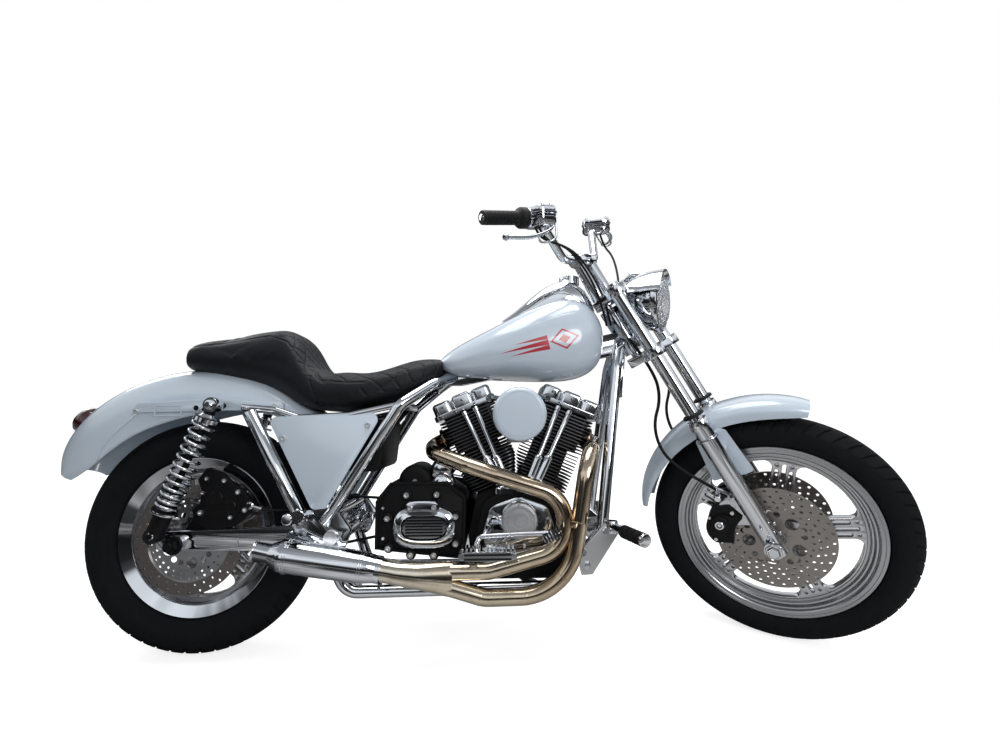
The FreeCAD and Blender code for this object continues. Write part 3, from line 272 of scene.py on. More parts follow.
def machinedRim(name, axle, place):
    # turned rings about the axle on dull cast metal
    finish = Finish(name, (0.42, 0.42, 0.43), 0.3, metallic=1.0)
    x, _, z = finish.onMachine(place)
    dx, dz = x - axle[0], z - axle[2]
    square = dx * dx + dz * dz
    radius = square.op("SQRT", square)
    rings = 0.5
    for pitch in (1.3, 0.47):
        wave = radius * pitch
        rings = wave.op("SINE", wave) * 0.25 + rings
    shade = rings * 0.5 + finish.noise(9.0) * 0.5
    finish.feed("Base Color", finish.mix(shade, (0.44, 0.45, 0.46), (0.51, 0.52, 0.54)))
    finish.feed("Roughness", 0.24 + rings * 0.10)
    return finish.material


def chromePlate(name, colour, roughness):
    finish = Finish(name, colour, roughness, metallic=1.0)
    finish.feed("Roughness", roughness * 0.6 + finish.noise(14.0, 4.0, 0.6) * roughness)
    finish.bump(finish.noise(60.0), 0.0004, 0.03)
    return finish.material


def brushedSteel(name, colour, roughness):
    finish = Finish(name, colour, roughness, metallic=1.0)
    grain = finish.noise(260.0, 2.0, 0.7)
    finish.feed("Roughness", roughness * 0.7 + grain * (roughness * 0.6))
    finish.bump(grain, 0.0003, 0.08)
    return finish.material


def tintedPipe():
    # straw to bronze, darkest at the ports and on the long bends
    finish = Finish("tintedPipe", (0.60, 0.47, 0.36), 0.12, metallic=1.0)
    travel = finish.value("ShaderNodeAttribute", {"attribute_name": "travel"}, {}, "Fac")
    smear = finish.noise(7.0, 4.0, 0.6)
    heat = finish.value("ShaderNodeValToRGB", {"stops": [
        (0.0, (0.16, 0.12, 0.09)), (0.06, (0.30, 0.22, 0.16)), (0.17, (0.66, 0.54, 0.41)), (0.38, (0.62, 0.50, 0.37)),
        (0.55, (0.50, 0.39, 0.27)), (0.74, (0.62, 0.53, 0.40)), (0.88, (0.68, 0.60, 0.48)), (1.0, (0.72, 0.66, 0.56))]},
        {"Fac": travel + (smear - 0.5) * 0.10})
    finish.feed("Base Color", finish.mix(finish.noise(40.0, 3.0).above(0.58, 0.2) * 0.3, heat, (0.40, 0.32, 0.23)))
    finish.feed("Roughness", 0.07 + smear * 0.12)
    return finish.material


# Black surfaces: noise scale, detail and roughness, two colours, roughness and its spread, specular, bump depth and
# strength
blacks = {
    "blackCast": ((180.0, 3.0, 0.6), (0.002, 0.002, 0.0025), (0.009, 0.009, 0.010), 0.32, 0.20, 0.16, (0.0008, 0.25)),
    "blackEngine": ((420.0, 3.0, 0.6), (0.002, 0.002, 0.0025), (0.009, 0.009, 0.010), 0.40, 0.25, 0.16, (0.0008, 0.25)),
    "tyreRubber": ((30.0, 4.0, 0.6), (0.003, 0.0033, 0.004), (0.010, 0.011, 0.013), 0.55, 0.30, 0.12, (0.0004, 0.2)),
    "blackRubber": ((500.0, 3.0, 0.5), (0.003, 0.003, 0.0035), (0.009, 0.009, 0.010), 0.50, 0.20, 0.3, (0.0004, 0.2)),
    "blackLeather": ((240.0, 4.0, 0.6), (0.002, 0.0025, 0.004), (0.007, 0.008, 0.011), 0.40, 0.22, 0.3, (0.0016, 0.3))}


def black(name):
    noise, low, high, roughness, spread, specular, bump = blacks[name]
    finish = Finish(name, (0.018, 0.018, 0.02), roughness + spread / 2, specular=specular)
    height = grain = finish.noise(*noise)
    finish.feed("Base Color", finish.mix(grain, low, high))
    finish.feed("Roughness", roughness + grain * spread)
    if name == "tyreRubber":
        height = finish.noise(900.0)
    elif name == "blackLeather":
        cells = finish.value("ShaderNodeTexVoronoi", {"feature": "DISTANCE_TO_EDGE"}, {
            "Vector": finish.place, "Scale": 620.0})
        height = cells.op("MINIMUM", cells, 0.25)
    finish.bump(height, *bump)
    return finish.material


def redLens():
    finish = Finish("redLens", (0.035, 0.004, 0.005), 0.12, coat=1.0)
    finish.bump(finish.bands(60.0), 0.001, 0.4)
    return finish.material


def clearGlass():
    finish = Finish("clearGlass", (0.9, 0.92, 0.95), 0.05)
    finish.feed("Transmission Weight", 0.9)
    finish.feed("IOR", 1.45)
    finish.bump(finish.bands(30.0), 0.002, 0.5)
    return finish.material


finishes = {
    "chrome_frame": chromePlate("frameChrome", (0.70, 0.72, 0.75), 0.06),
    "chrome": chromePlate("chrome", (0.70, 0.72, 0.75), 0.045), "white_paint": painted("whitePaint"),
    "black_leather": black("blackLeather"), "black_rubber": black("blackRubber"), "black_cast": black("blackCast"),
    "black_engine": black("blackEngine"), "tyre_rubber": black("tyreRubber"), "tinted_pipe": tintedPipe(),
    "lamp_housing": redLens(), "clear_glass": clearGlass(),
    "polished_rim": chromePlate("polishedRim", (0.66, 0.67, 0.70), 0.12),
    "steel_hardware": brushedSteel("steelHardware", (0.82, 0.82, 0.83), 0.34),
    "cast_aluminium": brushedSteel("castAluminium", (0.5, 0.5, 0.51), 0.45),
    "rotor_steel": brushedSteel("rotorSteel", (0.31, 0.285, 0.265), 0.35),
    "machined": brushedSteel("machinedCap", (0.62, 0.62, 0.64), 0.22),
    "fin_edge": brushedSteel("finEdge", (0.10, 0.10, 0.105), 0.35)}
ownFinish = {
    "front_rim": machinedRim("frontRimMetal", frontAxle, onFork),
    "rear_rim": machinedRim("rearRimMetal", rearAxle, onBike), "fuel_tank": painted("tankPaint", True)}
slotOf = {part["node"]: part["material_slot"] for part in frame["record"]["subparts"]}


def dress(piece, material):
    piece.data.materials.clear()
    piece.data.materials.append(material)


for name, node in nodes.items():
    dress(node, ownFinish.get(name) or finishes[slotOf[name]])
print("finishes given")

handMade = set()  # nodes that a piece made below stands for
units = []  # small parts that the node trees repeat, taken away at the end
sideName = {-1: "Right", 1: "Left"}
smoothAngle = 34  # an edge sharper than this many degrees stays sharp


# Meshes are made in the upright machine's millimetres and set in place by a matrix
def newObject(name, data):
    piece = bpy.data.objects.new(name, data)
    bpy.context.scene.collection.objects.link(piece)
    return piece


def applied(piece):
    # the same piece as a plain mesh, with its modifiers worked in
    bpy.context.view_layer.update()
    mesh = bpy.data.meshes.new_from_object(piece.evaluated_get(bpy.context.evaluated_depsgraph_get()))
    name = piece.name
    bpy.data.objects.remove(piece)
    return newObject(name, mesh)


def welded(mesh, distance, outwards=True, flat=0):
    work = bmesh.new()
    work.from_mesh(mesh)
    bmesh.ops.remove_doubles(work, verts=work.verts, dist=distance)
    if outwards:
        bmesh.ops.recalc_face_normals(work, faces=work.faces)
    if flat:
        bmesh.ops.dissolve_limit(work, angle_limit=math.radians(flat), verts=work.verts, edges=work.edges)
    work.to_mesh(mesh)
    work.free()


def shaded(mesh, sharp=smoothAngle):
    mesh.polygons.foreach_set("use_smooth", [True] * len(mesh.polygons))
    mesh.set_sharp_from_angle(angle=math.radians(sharp))


def closedNormals(piece, sharp=30):
    welded(piece.data, 0.00002)
    shaded(piece.data, sharp)
    return piece


def rounded(piece, width):
    bevel = piece.modifiers.new("rounding", "BEVEL")
    bevel.width = width / 1000
    bevel.segments = 2
    bevel.limit_method = "ANGLE"
    bevel.angle_limit = math.radians(smoothAngle)
    bevel.harden_normals = True
    return piece


def meshPiece(name, shapes, slot, place, sharp=smoothAngle):
    vertices, faces = joined(shapes)
    mesh = bpy.data.meshes.new(name)
    mesh.from_pydata([place @ Vector(v) for v in vertices], [], faces)
    mesh.materials.append(finishes[slot])
    welded(mesh, 0.00001)
    shaded(mesh, sharp)
    return newObject(name, mesh)


def finished(piece, body, slot, *replaced):
    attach(piece, body)
    if replaced:
        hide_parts(*replaced)
    return piece


def madeOf(name, shapes, slot, body, *replaced, sharp=smoothAngle, bevel=0):
    piece = meshPiece(name, shapes, slot, placed(body), sharp)
    if bevel:
        rounded(piece, bevel)
    return finished(piece, body, slot, *replaced)


# Shapes: each is a list of points and a list of faces
def joined(shapes):
    vertices, faces = [], []
    for points, sides in shapes:
        start = len(vertices)
        vertices += [tuple(point) for point in points]
        faces += [tuple(start + i for i in face) for face in sides]
    return vertices, faces


def gridFaces(rows, columns, closedRows=False, closedColumns=False):
    faces = []
    for i in range(rows if closedRows else rows - 1):
        for j in range(columns if closedColumns else columns - 1):
            a, b = i * columns, (i + 1) % rows * columns
            faces.append((a + j, a + (j + 1) % columns, b + (j + 1) % columns, b + j))
    return faces


def capped(rings, steps):
    # rings joined in a row, with both ends closed
    last = (rings - 1) * steps
    return gridFaces(rings, steps, False, True) + [tuple(range(steps)), tuple(range(last, last + steps))]


def circle(steps):
    return [(math.cos(math.tau * k / steps), math.sin(math.tau * k / steps)) for k in range(steps)]


def roundedSquare(steps, power):
    return [tuple(math.copysign(abs(part) ** (2 / power), part) for part in spot) for spot in circle(steps)]


def polar(radius, angle):
    return (radius * math.cos(angle), radius * math.sin(angle))


def lathed(profile, centre, steps=96):
    # a closed profile of distance across and radius, turned about the wheel's own axle
    points = [(centre[0] + radius * c, centre[1] + across, centre[2] + radius * s)
              for c, s in circle(steps) for across, radius in profile]
    return points, gridFaces(steps, len(profile), True, True)


def smoothLine(points, perSpan):
    # a curve through every point, each with any number of values
    line = []
    last = len(points) - 1
    for i in range(last):
        a, b, c, d = points[max(i - 1, 0)], points[i], points[i + 1], points[min(i + 2, last)]
        for k in range(perSpan):
            t = k / perSpan
            line.append(tuple(
                0.5 * (2 * q + (r - p) * t + (2 * p - 5 * q + 4 * r - s) * t * t
                       + (3 * q - p - 3 * r + s) * t * t * t) for p, q, r, s in zip(a, b, c, d)))
    line.append(tuple(points[last]))
    return line


def swept(points, radius, sides=14, flat=1.0):
    # a round bar along a line of points, closed at its ends
    line = [Vector(p) for p in points]
    rings = []
    side = None
    for i, point in enumerate(line):
        ahead = (line[min(i + 1, len(line) - 1)] - line[max(i - 1, 0)]).normalized()
        if side is None:
            side = ahead.orthogonal().normalized()
        side = (side - ahead * side.dot(ahead)).normalized()
        over = ahead.cross(side)
        rings += [point + (side * c + over * (s * flat)) * radius for c, s in circle(sides)]
    return rings, capped(len(line), sides)


def turned(profile, centre, axis, steps=48, hoop=False):
    # a profile of radius and distance along the axis: open from pole to pole, or closed for a hoop
    axis = Vector(axis).normalized()
    side = axis.orthogonal().normalized()
    over = axis.cross(side)
    points = [Vector(centre) + axis * along + (side * c + over * s) * radius
              for c, s in circle(steps) for radius, along in profile]
    return points, gridFaces(steps, len(profile), True, hoop)


def knob(profile, centre, axis, steps=48):
    # a turned solid with flat ends
    return turned([(0, profile[0][1]), *profile, (0, profile[-1][1])], centre, axis, steps)


def ring(profile, centre, axis, steps=48):
    return turned(profile, centre, axis, steps, True)


def layered(centre, long, wide, high, layers, power, steps):
    # rounded layers: half length, half width and height
    points = [centre + long * (halfLong * c) + wide * (halfWide * s) + high * height
              for halfLong, halfWide, height in layers for c, s in roundedSquare(steps, power)]
    return points, capped(len(layers), steps)


def ovalStack(layers, centre, steps, power):
    # layers seen from the right, each at its y
    return layered(Vector((centre[0], 0, centre[1])), Vector((1, 0, 0)), Vector((0, 0, 1)), Vector((0, 1, 0)), layers,
                   power, steps)


def stacked(centre, long, wide, layers, power=4.0, steps=48):
    long, wide = Vector(long).normalized(), Vector(wide).normalized()
    high = long.cross(wide).normalized()
    return layered(Vector(centre), long, wide, -high if high.z < 0 else high, layers, power, steps)


def slab(outline, low, high):
    # a flat outline of x and z between two values of y
    return [(x, y, z) for y in (low, high) for x, z in outline], capped(2, len(outline))


def block(x, y, z):
    return slab([(x[0], z[0]), (x[1], z[0]), (x[1], z[1]), (x[0], z[1])], y[0], y[1])


def arcPath(points, bends, step):
    # straight runs joined by arcs of the given radii, as a bent tube is
    line = [Vector(p) for p in points]
    path = [line[0]]
    for i in range(1, len(line) - 1):
        back = (line[i - 1] - line[i]).normalized()
        ahead = (line[i + 1] - line[i]).normalized()
        turn = math.pi - back.angle(ahead)
        if bends[i] <= 0 or turn < 0.01:
            path.append(line[i])
            continue
        centre = line[i] + (back + ahead).normalized() * (bends[i] / math.cos(turn / 2))
        arm = line[i] + back * (bends[i] * math.tan(turn / 2)) - centre
        normal = back.cross(ahead).normalized()
        count = max(3, int(bends[i] * turn / step))
        path += [centre + Matrix.Rotation(-turn * k / count, 3, normal) @ arm for k in range(count + 1)]
    path.append(line[-1])
    full = [path[0]]
    for point in path[1:]:
        pieces = max(1, int((point - full[-1]).length / (step * 2)))
        full += [full[-1].lerp(point, (k + 1) / pieces) for k in range(pieces)]
    return full


def mirrored(points, side):
    return [(x, side * y, z) for x, y, z in points]


# Geometry Nodes: each tree takes named inputs and ends as real geometry with its material
class Tree(Builder):
    def __init__(self, name, **inputs):
        super().__init__(bpy.data.node_groups.new(name, "GeometryNodeTree"))
        face = self.tree.interface
        face.new_socket("Geometry", in_out="INPUT", socket_type="NodeSocketGeometry")
        face.new_socket("Geometry", in_out="OUTPUT", socket_type="NodeSocketGeometry")
        self.sockets = {label: face.new_socket(label, in_out="INPUT", socket_type="NodeSocket" + kind).identifier
                        for label, kind in {**inputs, "material": "Material"}.items()}
        self.entry = self.tree.nodes.new("NodeGroupInput")
        self.exit = self.tree.nodes.new("NodeGroupOutput")

    def given(self, label):
        return self.entry.outputs[self.sockets[label]]

    def made(self, kind, settings=None, inputs=None, output=0):
        return self.node(kind, settings, inputs).outputs[output]

    def finish(self, geometry):
        real = self.made("GeometryNodeRealizeInstances", {}, [geometry])
        if "count" in self.sockets:
            real = self.made("GeometryNodeMergeByDistance", {}, {"Geometry": real, "Distance": 0.02})
            real = self.made("GeometryNodeRealizeInstances", {}, [real])
        dressed = self.made("GeometryNodeSetMaterial", {}, {"Geometry": real, "Material": self.given("material")})
        self.link(dressed, self.exit.inputs[0])
        return self

    def grown(self, name, points, slot, sharp=smoothAngle, **values):
        # runs the tree on a mesh and gives back a plain mesh object
        carrier = newObject(name, points)
        modifier = carrier.modifiers.new("grow", "NODES")
        modifier.node_group = self.tree
        for label, value in {**values, "material": finishes[slot]}.items():
            modifier[self.sockets[label]] = value
        piece = applied(carrier)
        shaded(piece.data, sharp)
        piece.data.name = name
        return piece


def scatterTree():
    # copies one small part onto every point, turned to the point's aim and scaled by its size
    tree = Tree("scatter", unit="Object")
    part = tree.made("GeometryNodeObjectInfo", {}, {"Object": tree.given("unit")}, "Geometry")
    aim = tree.made("GeometryNodeInputNamedAttribute", {"data_type": "FLOAT_VECTOR"}, {"Name": "aim"})
    size = tree.made("GeometryNodeInputNamedAttribute", {"data_type": "FLOAT"}, {"Name": "size"})
    turn = tree.made("FunctionNodeAlignRotationToVector", {"axis": "Z"}, {"Vector": aim})
    return tree.finish(tree.made("GeometryNodeInstanceOnPoints", {}, {
        "Points": tree.entry.outputs[0], "Instance": part, "Rotation": turn, "Scale": size}))


def spinTree():
    # repeats one part round an axle
    tree = Tree("spin", unit="Object", count="Int", step="Float", first="Float")
    part = tree.made("GeometryNodeObjectInfo", {}, {"Object": tree.given("unit")}, "Geometry")
    line = tree.made("GeometryNodeMeshLine", {}, {"Count": tree.given("count"), "Offset": (0, 0, 0)})
    angle = tree.made("ShaderNodeMath", {"operation": "MULTIPLY_ADD"}, [
        tree.made("GeometryNodeInputIndex"), tree.given("step"), tree.given("first")])
    turn = tree.made("FunctionNodeEulerToRotation", {}, [tree.made("ShaderNodeCombineXYZ", {}, {"Y": angle})])
    return tree.finish(tree.made("GeometryNodeInstanceOnPoints", {}, {
        "Points": line, "Instance": part, "Rotation": turn}))


def coilTree():
    # a round wire wound in a coil whose turns close up towards its foot
    tree = Tree("coil", turns="Float", radius="Float", height="Float", wire="Float", crowding="Float")
    spiral = tree.made("GeometryNodeCurveSpiral", {}, {
        "Resolution": 40, "Rotations": tree.given("turns"), "Start Radius": tree.given("radius"),
        "End Radius": tree.given("radius"), "Height": 1.0})
    share = tree.made("GeometryNodeSplineParameter", {}, {}, "Factor")
    bent = tree.made("ShaderNodeMath", {"operation": "POWER"}, [share, tree.given("crowding")])
    lift = tree.made("ShaderNodeMath", {"operation": "MULTIPLY"}, [bent, tree.given("height")])
    split = tree.node("ShaderNodeSeparateXYZ", {}, [tree.made("GeometryNodeInputPosition")]).outputs
    moved = tree.made("ShaderNodeCombineXYZ", {}, [split["X"], split["Y"], lift])
    wound = tree.made("GeometryNodeSetPosition", {}, {"Geometry": spiral, "Position": moved})
    section = tree.made("GeometryNodeCurvePrimitiveCircle", {}, {"Resolution": 10, "Radius": tree.given("wire")})
    return tree.finish(tree.made("GeometryNodeCurveToMesh", {}, {
        "Curve": wound, "Profile Curve": section, "Fill Caps": True}))


scatter, spin, coil = scatterTree(), spinTree(), coilTree()


def plainMesh(name, points, faces=()):
    mesh = bpy.data.meshes.new(name)
    mesh.from_pydata(points, [], faces)
    return mesh


def placedMesh(piece, place):
    piece.data.transform(place)
    if place.determinant() < 0:
        piece.data.flip_normals()
    return piece


def scattered(name, unit, places, slot, body):
    # places: (x, y, z), (aim x, y, z) and size, in the body's upright millimetres
    mesh = plainMesh(name + "Points", [place for place, _, _ in places])
    mesh.attributes.new("aim", "FLOAT_VECTOR", "POINT")
    mesh.attributes.new("size", "FLOAT", "POINT")
    for i, (_, way, scale) in enumerate(places):
        mesh.attributes["aim"].data[i].vector = Vector(way).normalized()
        mesh.attributes["size"].data[i].value = scale
    piece = scatter.grown(name, mesh, slot, unit=unit)
    return finished(placedMesh(piece, placed(body)), body, slot)


def spunPiece(name, unit, count, slot, body, centre, first=0.0, sharp=smoothAngle):
    piece = spin.grown(name, plainMesh(name + "Seed", [(0, 0, 0)]), slot, sharp, unit=unit, count=count,
                       step=math.tau / count, first=first)
    piece.data.transform(Matrix.Translation(centre))
    return placedMesh(piece, placed(body))


def unitOf(name, shape):
    unit = newObject(name, plainMesh(name, *shape))
    units.append(unit)
    return unit


def fastener(name, profile, steps, recess=None):
    # a small turned part about Z, its foot at zero, with an optional six-sided socket of a radius and depth
    vertices = [(radius * c, radius * s, z) for radius, z in profile for c, s in circle(steps)]
    if recess:
        width, depth = recess
        top = max(z for _, z in profile)
        for z in (top, top - depth):
            for k, (c, s) in enumerate(circle(steps)):
                corner = math.cos(math.pi / 6) / math.cos(math.tau * k / steps % (math.pi / 3) - math.pi / 6)
                vertices.append((width * corner * c, width * corner * s, z))
    rings = len(vertices) // steps
    faces = gridFaces(rings, steps, False, True) + [tuple(range((rings - 1) * steps, rings * steps))]
    unit = unitOf(name, (vertices, faces))
    shaded(unit.data, 30)
    return unit


socketScrew = fastener("socketScrew", [(4.6, 0.0), (4.6, 4.0), (4.2, 4.7)], 24, (2.3, 2.6))
hexBolt = fastener("hexBolt", [(6.4, 0.0), (6.4, 1.0), (5.2, 1.0), (5.2, 4.6), (4.4, 5.2), (0.05, 5.2)], 6)
print("node trees built")

# Tyres: one pitch of tread, sheared along its grooves, and repeated round the axle
tyre = {
    "front_tyre": {"radius": 331.0, "width": 100.0, "bead": 241.3, "rimWidth": 63.5, "pitches": 54, "centre": frontAxle,
                   "groove": 5.5},
    "rear_tyre": {"radius": 320.0, "width": 130.0, "bead": 203.0, "rimWidth": 80.0, "pitches": 48, "centre": rearAxle,
                  "groove": 3.0},
    "grooveWidth": 8.0, "ribDepth": 4.0, "ribAt": (0.085, 0.135), "sweep": 0.11, "lip": 14.5, "raised": 0.9,
    "raisedRows": (9, 10, 24, 25)}


def tyreSection(size):
    half = size["width"] / 2
    height = size["radius"] - size["bead"]
    lip = size["bead"] + tyre["lip"]
    side = [(size["rimWidth"] / 2 - 0.3, lip + 0.9), (half * 0.80, lip + 5.0)]
    side += [(half * share, size["bead"] + height * rise) for share, rise in (
        (0.91, 0.31), (0.985, 0.44), (1.0, 0.54), (0.975, 0.665), (0.91, 0.77))]
    side += [(half * 0.70, size["radius"] - height * 0.108), (half * 0.38, size["radius"] - height * 0.024),
             (0, size["radius"])]
    return smoothLine(side, 7)


def within(value, low, span):
    return max(0.0, min(1.0, (value - low) / span))


def tyrePitch(size):
    # section points run from the right-hand bead over the tread to the left-hand one, then back inside
    half = []
    for i, (across, radius) in enumerate(tyreSection(size)):
        share = across / (size["width"] / 2)
        tread = within(radius, size["bead"] + (size["radius"] - size["bead"]) * 0.70, 6.0)
        depth = size["groove"] * tread * within(share, 0.16, 0.08)
        radius += tyre["raised"] if i in tyre["raisedRows"] else 0.0
        radius -= tyre["ribDepth"] if tyre["ribAt"][0] < share < tyre["ribAt"][1] else 0.0
        half.append((across, radius, depth, tyre["sweep"] * share ** 1.25))
    rows = [(-across, *rest) for across, *rest in half] + list(reversed(half))[1:]
    inner = size["bead"] + 0.3
    seat = size["rimWidth"] / 2 - 0.3
    rows += [(y, inner + lift, 0, 0) for y, lift in ((seat, 12), (seat, 0), (0, 0), (-seat, 0), (-seat, 12))]
    pitch = math.tau / size["pitches"]
    width = tyre["grooveWidth"] / size["radius"]
    land = pitch - width
    columns = [(0.0, 0), (width * 0.22, 1), (width * 0.78, 1), (width, 0), (width + land * 0.34, 0),
               (width + land * 0.67, 0), (pitch, 0)]
    spots = [(across, polar(radius - depth * low, angle + shear))
             for angle, low in columns for across, radius, depth, shear in rows]
    return [(x, y, z) for y, (x, z) in spots], gridFaces(len(columns), len(rows), False, True)


for name, body in (("front_tyre", "front_wheel"), ("rear_tyre", "rear_wheel")):
    size = tyre[name]
    piece = spunPiece(name + "Treaded", unitOf(name + "Pitch", tyrePitch(size)), size["pitches"], "tyre_rubber", body,
                      size["centre"], sharp=40)
    finished(piece, body, "tyre_rubber", name)
handMade.update(("front_tyre", "rear_tyre"))
print("tyres made")

# Brake rotors: one sector of cells, each with its hole, repeated round the axle. A cell is its first and last share of
# the sector, its inner and outer radius, and its hole's radius, distance, share and sides
rotors = {
    "front": {"node": "front_rotors", "body": "front_wheel", "centre": frontAxle, "parts": {
        "Band": {"count": 30, "faces": (58.0, 63.0), "shear": 0.0055, "wall": 3, "slot": "rotor_steel", "cells": [
            (0, 1, 84.0, 100.0, 3.6, 92.0, 0.5, 12), (0, 1, 100.0, 114.0, 4.3, 107.0, 0.5, 12),
            (0, 1, 114.0, 129.0, 3.6, 121.5, 0.5, 12), (0, 1, 129.0, 146.0, 4.3, 137.5, 0.5, 12)]},
        "Middle": {"count": 5, "faces": (58.0, 63.0), "wall": 24, "slot": "rotor_steel", "first": -28.7, "cells": [
            (0, 0.62, 27.0, 84.4, 17.0, 64.0, 0.31, 40), (0.62, 1, 27.0, 84.4, 8.0, 72.0, 0.81, 40)]}}},
    "rear": {"node": "rear_rotor", "body": "rear_wheel", "centre": rearAxle, "parts": {
        "RotorBand": {"count": 30, "faces": (76.0, 81.0), "shear": 0.004, "wall": 3, "slot": "rotor_steel", "cells": [
            (0, 1, 112.0, 129.5, 3.6, 121.0, 0.5, 12), (0, 1, 129.5, 146.0, 4.0, 138.0, 0.62, 12)]},
        "CarrierRing": {"count": 30, "faces": (76.0, 76.7), "wall": 3, "slot": "polished_rim", "cells": [
            (0, 1, 82.0, 97.0, 3.0, 91.0, 0.5, 12), (0, 1, 97.0, 112.4, 3.2, 104.0, 0.6, 12)]},
        "CarrierHub": {"count": 5, "faces": (76.0, 76.7), "wall": 24, "slot": "polished_rim", "first": 28,
                       "cells": [
            (0, 0.5, 30.0, 82.4, 15.0, 62.0, 0.25, 48), (0.5, 0.75, 30.0, 82.4, 8.0, 66.0, 0.625, 24),
            (0.75, 1, 30.0, 82.4, 8.0, 66.0, 0.875, 24)]}}},
    "hub": 26}


def skewed(radius, angle, shear):
    return polar(radius, angle + shear * (radius - rotors["hub"]))


def drilledCell(first, last, inner, outer, hole, distance, share, sides, step, low, high, shear):
    # a wedge of plate with a round hole through it
    corners = [(first, inner), (last, inner), (last, outer), (first, outer)]
    count = sides // 4
    flat = []
    for (a, r), (b, s) in zip(corners, corners[1:] + corners[:1]):
        flat += [skewed(r + (s - r) * i / count, (a + (b - a) * i / count) * step, shear) for i in range(count)]
    x0, z0 = skewed(distance, share * step, shear)
    edge = []
    for x, z in flat:
        way = math.atan2(z - z0, x - x0)
        edge.append((x0 + hole * math.cos(way), z0 + hole * math.sin(way)))
    vertices = [(x, y, z) for y in (low, high) for line in (flat, edge) for x, z in line]
    n = len(flat)
    faces = []
    for i in range(n):
        j = (i + 1) % n
        faces += [(i, j, n + j, n + i), (2 * n + i, 2 * n + j, 3 * n + j, 3 * n + i),
                  (n + i, n + j, 3 * n + j, 3 * n + i)]
    return vertices, faces


def rotorPart(label, wheel, size, side):
    step = math.tau / size["count"]
    low, high = (side * face for face in size["faces"])
    shear, steps = size.get("shear", 0), size["wall"]
    shapes = [drilledCell(*cell, step, low, high, shear) for cell in size["cells"]]
    for radius in (size["cells"][0][2], size["cells"][-1][3]):
        edge = [skewed(radius, step * k / steps, shear) for k in range(steps + 1)]
        shapes.append(([(x, y, z) for y in (low, high) for x, z in edge], gridFaces(2, steps + 1)))
    unit = unitOf(label + "Sector", joined(shapes))
    welded(unit.data, 0.02, False)
    piece = spunPiece(label, unit, size["count"], size["slot"], wheel["body"], wheel["centre"],
                      math.radians(size.get("first", 0)))
    finished(closedNormals(piece), wheel["body"], size["slot"], wheel["node"])


for side, label in sideName.items():
    for part, size in rotors["front"]["parts"].items():
        rotorPart("frontRotor" + part + label, rotors["front"], size, side)
for part, size in rotors["rear"]["parts"].items():
    rotorPart("rear" + part, rotors["rear"], size, -1)
handMade.update(("front_rotors", "rear_rotor"))
print("rotors drilled")

# Shock springs, wound closer towards the foot
shock = {"top": (92, 681), "foot": (-38, 350), "side": 164.0, "low": 69.0, "topGap": 47.0, "coil": 27.0, "wire": 4.2,
         "turns": 12.0, "crowding": 1.25}


def shockAxis(side):
    # its foot, its head and the way up
    foot, head = (Vector((x, side * shock["side"], z)) for x, z in (shock["foot"], shock["top"]))
    return foot, head, (head - foot).normalized()


for side, label in sideName.items():
    foot, head, up = shockAxis(side)
    height = (head - foot).length - shock["topGap"] - shock["low"] - 2 * shock["wire"]
    piece = coil.grown("shockSpring" + label, plainMesh("springSeed", [(0, 0, 0)]), "chrome", turns=shock["turns"],
                       radius=shock["coil"], height=height, wire=shock["wire"], crowding=shock["crowding"])
    turn = up.to_track_quat("Z", "X").to_matrix().to_4x4()
    piece.data.transform(Matrix.Translation(foot + up * (shock["low"] + shock["wire"])) @ turn)
    finished(closedNormals(placedMesh(piece, onBike), 60), "chassis", "chrome", "shock_springs")
handMade.add("shock_springs")
print("springs wound")

# Cast rims: a stepped barrel, a hub and a web with five double spokes cut out of one plate
rims = {
    "front": {"centre": frontAxle, "bead": 241.3, "half": 31.75, "window": 207.3, "web": 12.0, "hub": 34.0,
              "hubEnds": (-57.7, 57.7), "bore": 10.3, "start": 12.0, "spoke": 29.0, "body": "front_wheel"},
    "rear": {"centre": rearAxle, "bead": 203.0, "half": 40.0, "window": 169.0, "web": 14.0, "hub": 42.0,
             "hubEnds": (-75.7, 69.7), "bore": 12.3, "start": 30.0, "spoke": 28.0, "body": "rear_wheel"},
    "flange": 6.0, "lip": 14.5, "drop": 13.0, "spokes": 5,
    "rearLips": [(44.2, 216.6), (46.6, 216.6), (46.9, 215.8), (35.9, 187.6), (35.0, 186.8), (33.6, 187.4)]}


def closedBends(points, bends, step):
    # a closed outline with its corners turned by arcs
    middle = ((points[0][0] + points[-1][0]) / 2, (points[0][1] + points[-1][1]) / 2)
    line = [middle, *points, middle]
    return [(p.x, p.y) for p in arcPath([(x, y, 0) for x, y in line], [0, *bends, 0], step)][:-1]


def windowOutline(size, first):
    pitch = math.tau / rims["spokes"]
    swing = math.asin(size["spoke"] / size["window"])
    root = max(size["hub"] + 10, size["spoke"] / math.sin(pitch / 2) + 1)
    corners = [polar(root, first + pitch / 2)]
    corners += [polar(size["window"], first + swing + (pitch - 2 * swing) * i / 8) for i in range(9)]
    return closedBends(corners, [12, 19] + [0] * 7 + [19], 3)


def oblong(start, end, half, shift, angle, steps=7):
    points = []
    for x, sign in ((end - half, -1), (start + half, 1)):
        for k in range(steps):
            dx, dz = polar(half, sign * math.pi / 2 + math.pi * k / (steps - 1))
            points.append((x + dx, shift + dz))
    c, s = math.cos(angle), math.sin(angle)
    return [(x * c - z * s, x * s + z * c) for x, z in points]


